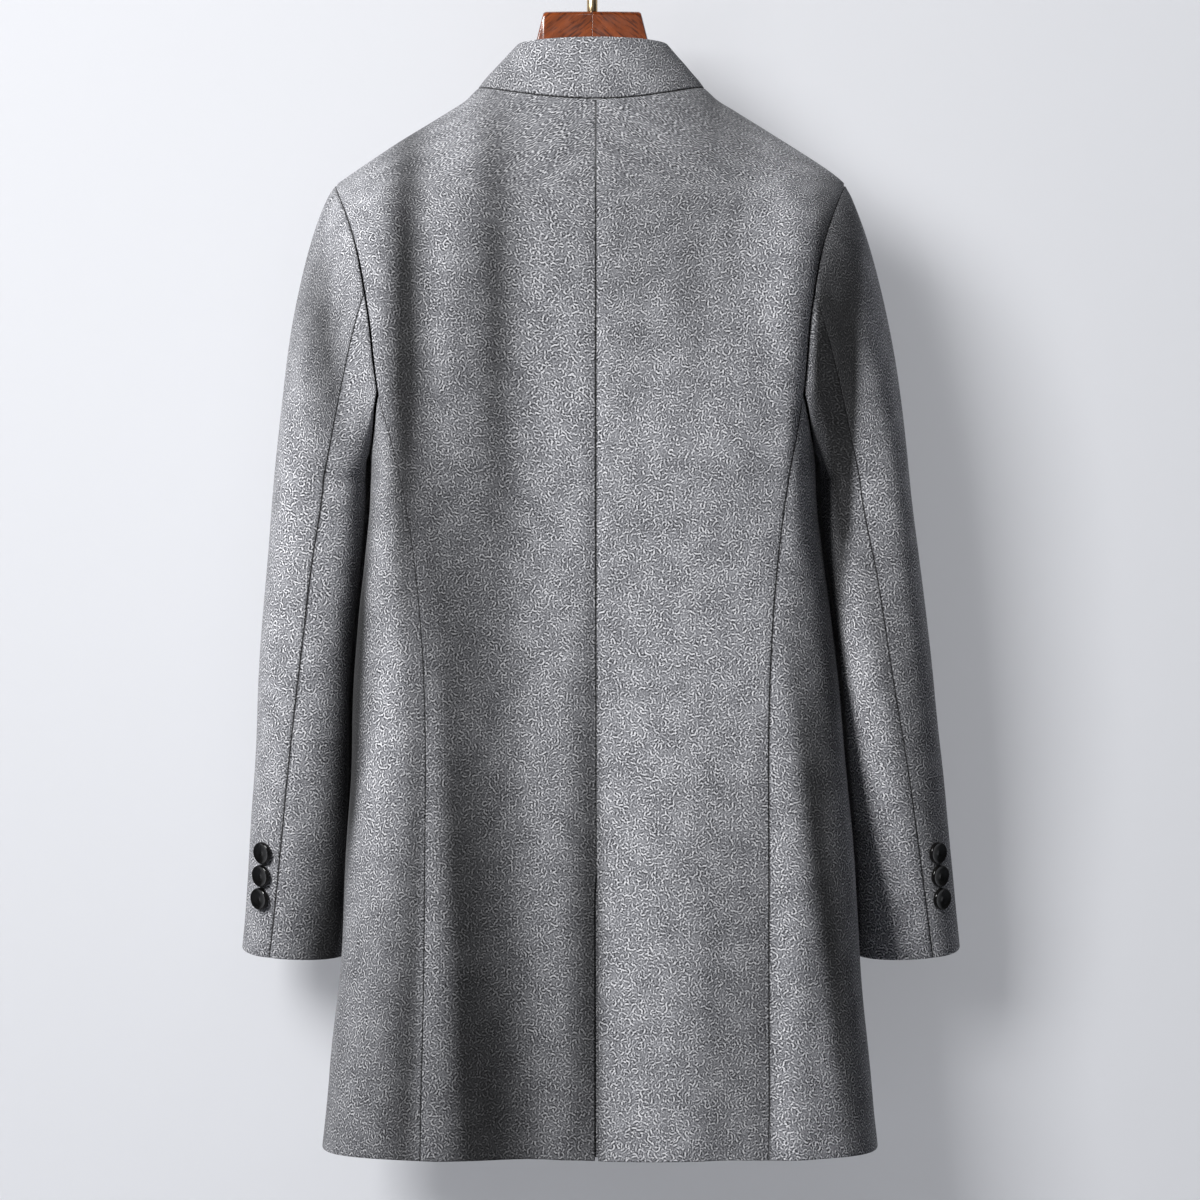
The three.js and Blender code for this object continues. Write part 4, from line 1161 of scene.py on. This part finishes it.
def tufts(tree, finer, shift, lines, weight):
    scale = calc(tree, "MULTIPLY", given["Tufts Per Metre"], finer)
    moved = calc_vector(tree, "ADD", given["Cloth"], (shift, -2 * shift, 0))
    cells = add_node(tree, "ShaderNodeTexVoronoi", voronoi_dimensions="2D", feature="F1",
                     Randomness=1, Vector=moved, Scale=scale)
    chance = add_node(tree, "ShaderNodeSeparateColor", Color=cells.outputs["Color"]).outputs
    turned = add_node(tree, "ShaderNodeVectorRotate", rotation_type="Z_AXIS",
                      Vector=calc_vector(tree, "SUBTRACT", moved, cells.outputs["Position"]),
                      Angle=calc(tree, "MULTIPLY", chance[0], 2 * math.pi)).outputs[0]
    in_cell = add_node(tree, "ShaderNodeVectorMath", operation="SCALE", Vector=turned, Scale=scale)
    along, straight, _ = add_node(tree, "ShaderNodeSeparateXYZ", Vector=in_cell.outputs[0]).outputs
    squared = calc(tree, "MULTIPLY", along, along)
    across = calc(tree, "MULTIPLY_ADD", squared, CURL, straight)
    far = calc(tree, "MULTIPLY_ADD", across, across, squared)
    inside = calc(tree, "MAXIMUM", calc(tree, "MULTIPLY_ADD", far, -FADE, 1), 0)
    wave = calc(tree, "COSINE", calc(tree, "MULTIPLY", across, 2 * math.pi * lines))
    stroke = calc(tree, "MULTIPLY", calc(tree, "MULTIPLY", inside, inside), wave)
    strength = calc(tree, "MULTIPLY_ADD", chance[1], STRENGTHS * weight, FAINTEST * weight)
    return calc(tree, "MULTIPLY", stroke, strength)


total = tufts(fibres, *TUFTS[0])
for row in TUFTS[1:]:
    total = calc(fibres, "ADD", total, tufts(fibres, *row))
fuzz = noise(fibres, given["Cloth"], scale=900, detail=2, noise_dimensions="2D")
loose = calc(fibres, "MULTIPLY", calc(fibres, "SUBTRACT", fuzz, 0.5), given["Fuzz"])
feed(fibres, result, Fibres=calc(fibres, "ADD", total, loose), Loose_Fuzz=fuzz)
print("group:", fibres.name, len(fibres.nodes), "nodes")

# %% [markdown]
# The wool mixes charcoal and pale fibres into a middle grey. Slow clouds keep the panels from
# looking printed. Shade is painted into the colour from the attribute: the seams, the troughs
# of the folds, the underarms and the inside face are darkened. A faint sheen at the edges
# stands for the loose nap.

# %% Wool
GREYS = [(0.00, (0.030, 0.031, 0.035)), (0.30, (0.125, 0.126, 0.138)), (0.58, (0.26, 0.263, 0.28)),
         (0.80, (0.42, 0.423, 0.445)), (1.00, (0.66, 0.66, 0.68))]
FIBRE_CONTRAST, FIBRE_MIDDLE, CLOUD_CONTRAST = 0.50, 0.485, 0.36
# The near black that the painted shade darkens the wool towards.
PAINTED_DEEP_SHADE = (0.004, 0.004, 0.004, 1)

wool, tree, shader = new_material("melange wool", Roughness=0.95, Specular_IOR_Level=0.2,
                                  Sheen_Weight=0.06, Sheen_Roughness=0.5)
cut = add_node(tree, "ShaderNodeUVMap", uv_map="cut").outputs[0]
nap = place_group(tree, fibres, Cloth=cut, Tufts_Per_Metre=180, Fuzz=1.3)
clouds = noise(tree, cut, scale=45, detail=3, noise_dimensions="2D")
cloudy = calc(tree, "MULTIPLY_ADD", clouds, CLOUD_CONTRAST, -CLOUD_CONTRAST / 2)
felt = calc(tree, "MULTIPLY_ADD", nap["Fibres"], FIBRE_CONTRAST, FIBRE_MIDDLE)
grey = ramp_of(tree, calc(tree, "ADD", felt, cloudy), *GREYS)
# Painted shade: the attribute multiplies the wool's colour towards near black.
painted_shade = add_node(tree, "ShaderNodeAttribute", attribute_name="painted_shade").outputs["Fac"]
painted_shade_mix = add_node(tree, "ShaderNodeMix", data_type="RGBA", blend_type="MULTIPLY", Factor=painted_shade)
light, dark = (socket for socket in painted_shade_mix.inputs if socket.type == "RGBA")
put(tree, light, grey)
put(tree, dark, PAINTED_DEEP_SHADE)
colour = next(socket for socket in painted_shade_mix.outputs if socket.type == "RGBA")
feed(tree, shader, Base_Color=colour)
emboss(tree, shader, nap["Loose Fuzz"], strength=0.35, depth=0.5)
finish_pieces(WOOL_PIECES, wool)

# %% [markdown]
# Horn, lacquer and brass are all handled, so each has faint smears and scratches that change
# its gloss. The same group makes them at each material's own scale, between two roughnesses.

# %% Handling marks, as a shared group
marks, given, result = new_group(
    "handling marks",
    {"Place": VECTOR, "Size": FLOAT, "Smooth": FLOAT, "Worn": FLOAT},
    {"Roughness": FLOAT, "Marks": FLOAT},
)
smears = noise(marks, given["Place"], scale=given["Size"], detail=5, Roughness=0.62)
spread = add_node(marks, "ShaderNodeMapRange", interpolation_type="SMOOTHSTEP", Value=smears,
                  From_Min=0.35, From_Max=0.7, To_Min=given["Smooth"], To_Max=given["Worn"])
feed(marks, result, Roughness=spread.outputs[0], Marks=smears)
print("group:", marks.name, len(marks.nodes), "nodes")

# %% [markdown]
# The buttons are polished almost black. Horn isn't quite even, so a slow noise lets a little
# brown through, and the polish is broken by the shared marks.

# %% Black horn
horn, tree, shader = new_material("polished black horn", Specular_IOR_Level=0.2,
                                  Coat_Weight=0.22, Coat_Roughness=0.04)
place = object_place(tree)
polish = place_group(tree, marks, Place=place, Size=420, Smooth=0.10, Worn=0.22)
streaks = noise(tree, place, scale=160, detail=4, Distortion=1.2)
colour = ramp_of(tree, streaks, (0.35, (0.0018, 0.0018, 0.002)), (0.75, (0.006, 0.0055, 0.005)))
feed(tree, shader, Base_Color=colour, Roughness=polish["Roughness"])
emboss(tree, shader, polish["Marks"], strength=0.12, depth=0.2)
finish_pieces(HORN_PIECES, horn)

# %% [markdown]
# The wood is a red-brown hardwood whose grain follows each arm, so the two halves meet in an
# upturned V. The pattern therefore takes the distance from the joint without its sign, and
# turns it down the arm. Broad bands give the year rings, and fine dark pores lie along them.

# %% Lacquered wood
GRAIN, GRAIN_STRETCH, OTHER_BOARD = math.radians(38), 0.12, 0.37
WOODS = [(0.30, (0.095, 0.020, 0.0035)), (0.52, (0.165, 0.035, 0.006)), (0.72, (0.240, 0.054, 0.010))]

wood, tree, shader = new_material("lacquered hardwood", Coat_Weight=0.4, Coat_Roughness=0.12)
place = object_place(tree)
x, y, z = add_node(tree, "ShaderNodeSeparateXYZ", Vector=place).outputs
aside = calc(tree, "ABSOLUTE", calc(tree, "ADD", x, -HANGER_SHIFT * MM))
along = calc(tree, "MULTIPLY_ADD", aside, math.cos(GRAIN),
             calc(tree, "MULTIPLY", z, -math.sin(GRAIN)))
across = calc(tree, "MULTIPLY_ADD", aside, math.sin(GRAIN),
              calc(tree, "MULTIPLY", z, math.cos(GRAIN)))
right_half = calc(tree, "GREATER_THAN", x, HANGER_SHIFT * MM)
board = calc(tree, "MULTIPLY", right_half, OTHER_BOARD)
turned = add_node(tree, "ShaderNodeCombineXYZ", X=calc(tree, "MULTIPLY", along, GRAIN_STRETCH),
                  Y=calc(tree, "ADD", across, board), Z=y).outputs[0]
rings = noise(tree, turned, scale=95, detail=4, Roughness=0.55, Distortion=0.6)
pores = noise(tree, turned, scale=620, detail=3, Roughness=0.6)
body = ramp_of(tree, rings, *WOODS)
dark = ramp_of(tree, pores, (0.36, (0.35, 0.30, 0.28)), (0.50, (1, 1, 1)))
lacquer = place_group(tree, marks, Place=place, Size=60, Smooth=0.22, Worn=0.36)
feed(tree, shader, Base_Color=calc_vector(tree, "MULTIPLY", body, dark),
     Roughness=lacquer["Roughness"])
emboss(tree, shader, pores, strength=0.15, depth=0.3)
finish_pieces(WOOD_PIECES, wood)

# %% [markdown]
# The rod is brushed brass. Brushing runs round it, so a noise that is squeezed along the rod
# raises fine rings, and the shared marks tarnish it a little.

# %% Brushed brass
brass, tree, shader = new_material("brushed brass", Metallic=1.0)
place = object_place(tree)
squeezed = add_node(tree, "ShaderNodeMapping", Vector=place, Scale=(1, 1, 9)).outputs[0]
gloss = place_group(tree, marks, Place=place, Size=140, Smooth=0.22, Worn=0.38)
colour = ramp_of(tree, gloss["Marks"], (0.3, (0.42, 0.30, 0.17)), (0.7, (0.56, 0.43, 0.26)))
feed(tree, shader, Base_Color=colour, Roughness=gloss["Roughness"])
brushing = noise(tree, squeezed, scale=900, detail=2)
emboss(tree, shader, brushing, strength=0.12, depth=0.1)
finish_pieces(BRASS_PIECES, brass)

# %% [markdown]
# The coat hangs close to a pale wall in a plain studio. A soft light far to the left and a
# little above rakes over the cloth and draws every fold, and a weak one opens the shade. The
# wall has two lights of its own, so that its brightness and the coat's can be set apart. Wall
# and floor are seen from their faces only, so they never hide the coat.

# %% Stage and light
def one_sided(name, colour):
    material, tree, shader = new_material(name, Base_Color=(*colour, 1), Roughness=0.9,
                                          Specular_IOR_Level=0.1)
    clear = add_node(tree, "ShaderNodeBsdfTransparent")
    geometry = add_node(tree, "ShaderNodeNewGeometry")
    either = add_node(tree, "ShaderNodeMixShader", Fac=geometry.outputs["Backfacing"])
    put(tree, either.inputs[1], shader.outputs[0])
    put(tree, either.inputs[2], clear.outputs[0])
    feed(tree, tree.nodes["Material Output"], Surface=either.outputs[0])
    return material


def flat_stage(name, corners, material):
    mesh = bpy.data.meshes.new(name)
    mesh.from_pydata(corners, [], [(0, 1, 2, 3)])
    mesh.materials.append(material)
    plane = add_object(name, mesh)
    return plane


WALL_Y, FLOOR_Z, WALL_TOP, REACH = 0.14, -1.35, 4, 6
plain = one_sided("pale wall", (0.80, 0.81, 0.845))
wall = flat_stage("wall", [(-REACH, WALL_Y, FLOOR_Z), (REACH, WALL_Y, FLOOR_Z),
                           (REACH, WALL_Y, WALL_TOP), (-REACH, WALL_Y, WALL_TOP)], plain)
flat_stage("floor", [(-REACH, -REACH, FLOOR_Z), (REACH, -REACH, FLOOR_Z),
                     (REACH, REACH, FLOOR_Z), (-REACH, REACH, FLOOR_Z)], plain)

# Angle to the left, angle up, distance and size in metres, watts
LAMPS = {
    "coat key": (38, 24, 3.2, (0.9, 1.1), 184),
    "coat fill": (-15, 20, 3.4, (2.2, 2.2), 4),
    "wall key": (31, 22, 3.2, (1.35, 1.3), 75),
    "wall fill": (0, 10, 3.4, (2.5, 2.5), 46),
}
LIT_POINT = Vector((0, 0, -0.5))
SKY, SKY_STRENGTH = (0.93, 0.96, 1.0, 1), 0.08


def soft_light(name, angle_left, angle_up, distance, size, power, lights_up):
    light = bpy.data.lights.new(name, "AREA")
    light.shape = "RECTANGLE"
    light.size, light.size_y = size
    light.energy = power
    lamp = add_object(name, light)
    left, up = math.radians(angle_left), math.radians(angle_up)
    way = Vector((-math.sin(left) * math.cos(up), -math.cos(left) * math.cos(up), math.sin(up)))
    lamp.location = LIT_POINT + distance * way
    lamp.rotation_euler = (-way).to_track_quat("-Z", "Y").to_euler()
    lamp.light_linking.receiver_collection = lights_up
    return lamp


coat = bpy.data.collections.new("lit as the coat")
room = bpy.data.collections.new("lit as the room")
for piece in WOOL_PIECES + HORN_PIECES + WOOD_PIECES + BRASS_PIECES:
    coat.objects.link(piece)
room.objects.link(wall)
lamps = {name: soft_light(name, *row, coat if name.startswith("coat") else room)
         for name, row in LAMPS.items()}
lamps["wall fill"].data.use_shadow = False
world = bpy.data.worlds.new("studio")
bpy.context.scene.world = world
world.use_nodes = True
feed(world.node_tree, world.node_tree.nodes["Background"], Color=SKY, Strength=SKY_STRENGTH)
bpy.context.scene.view_settings.view_transform = "Standard"
print("lights:", ", ".join(lamps))
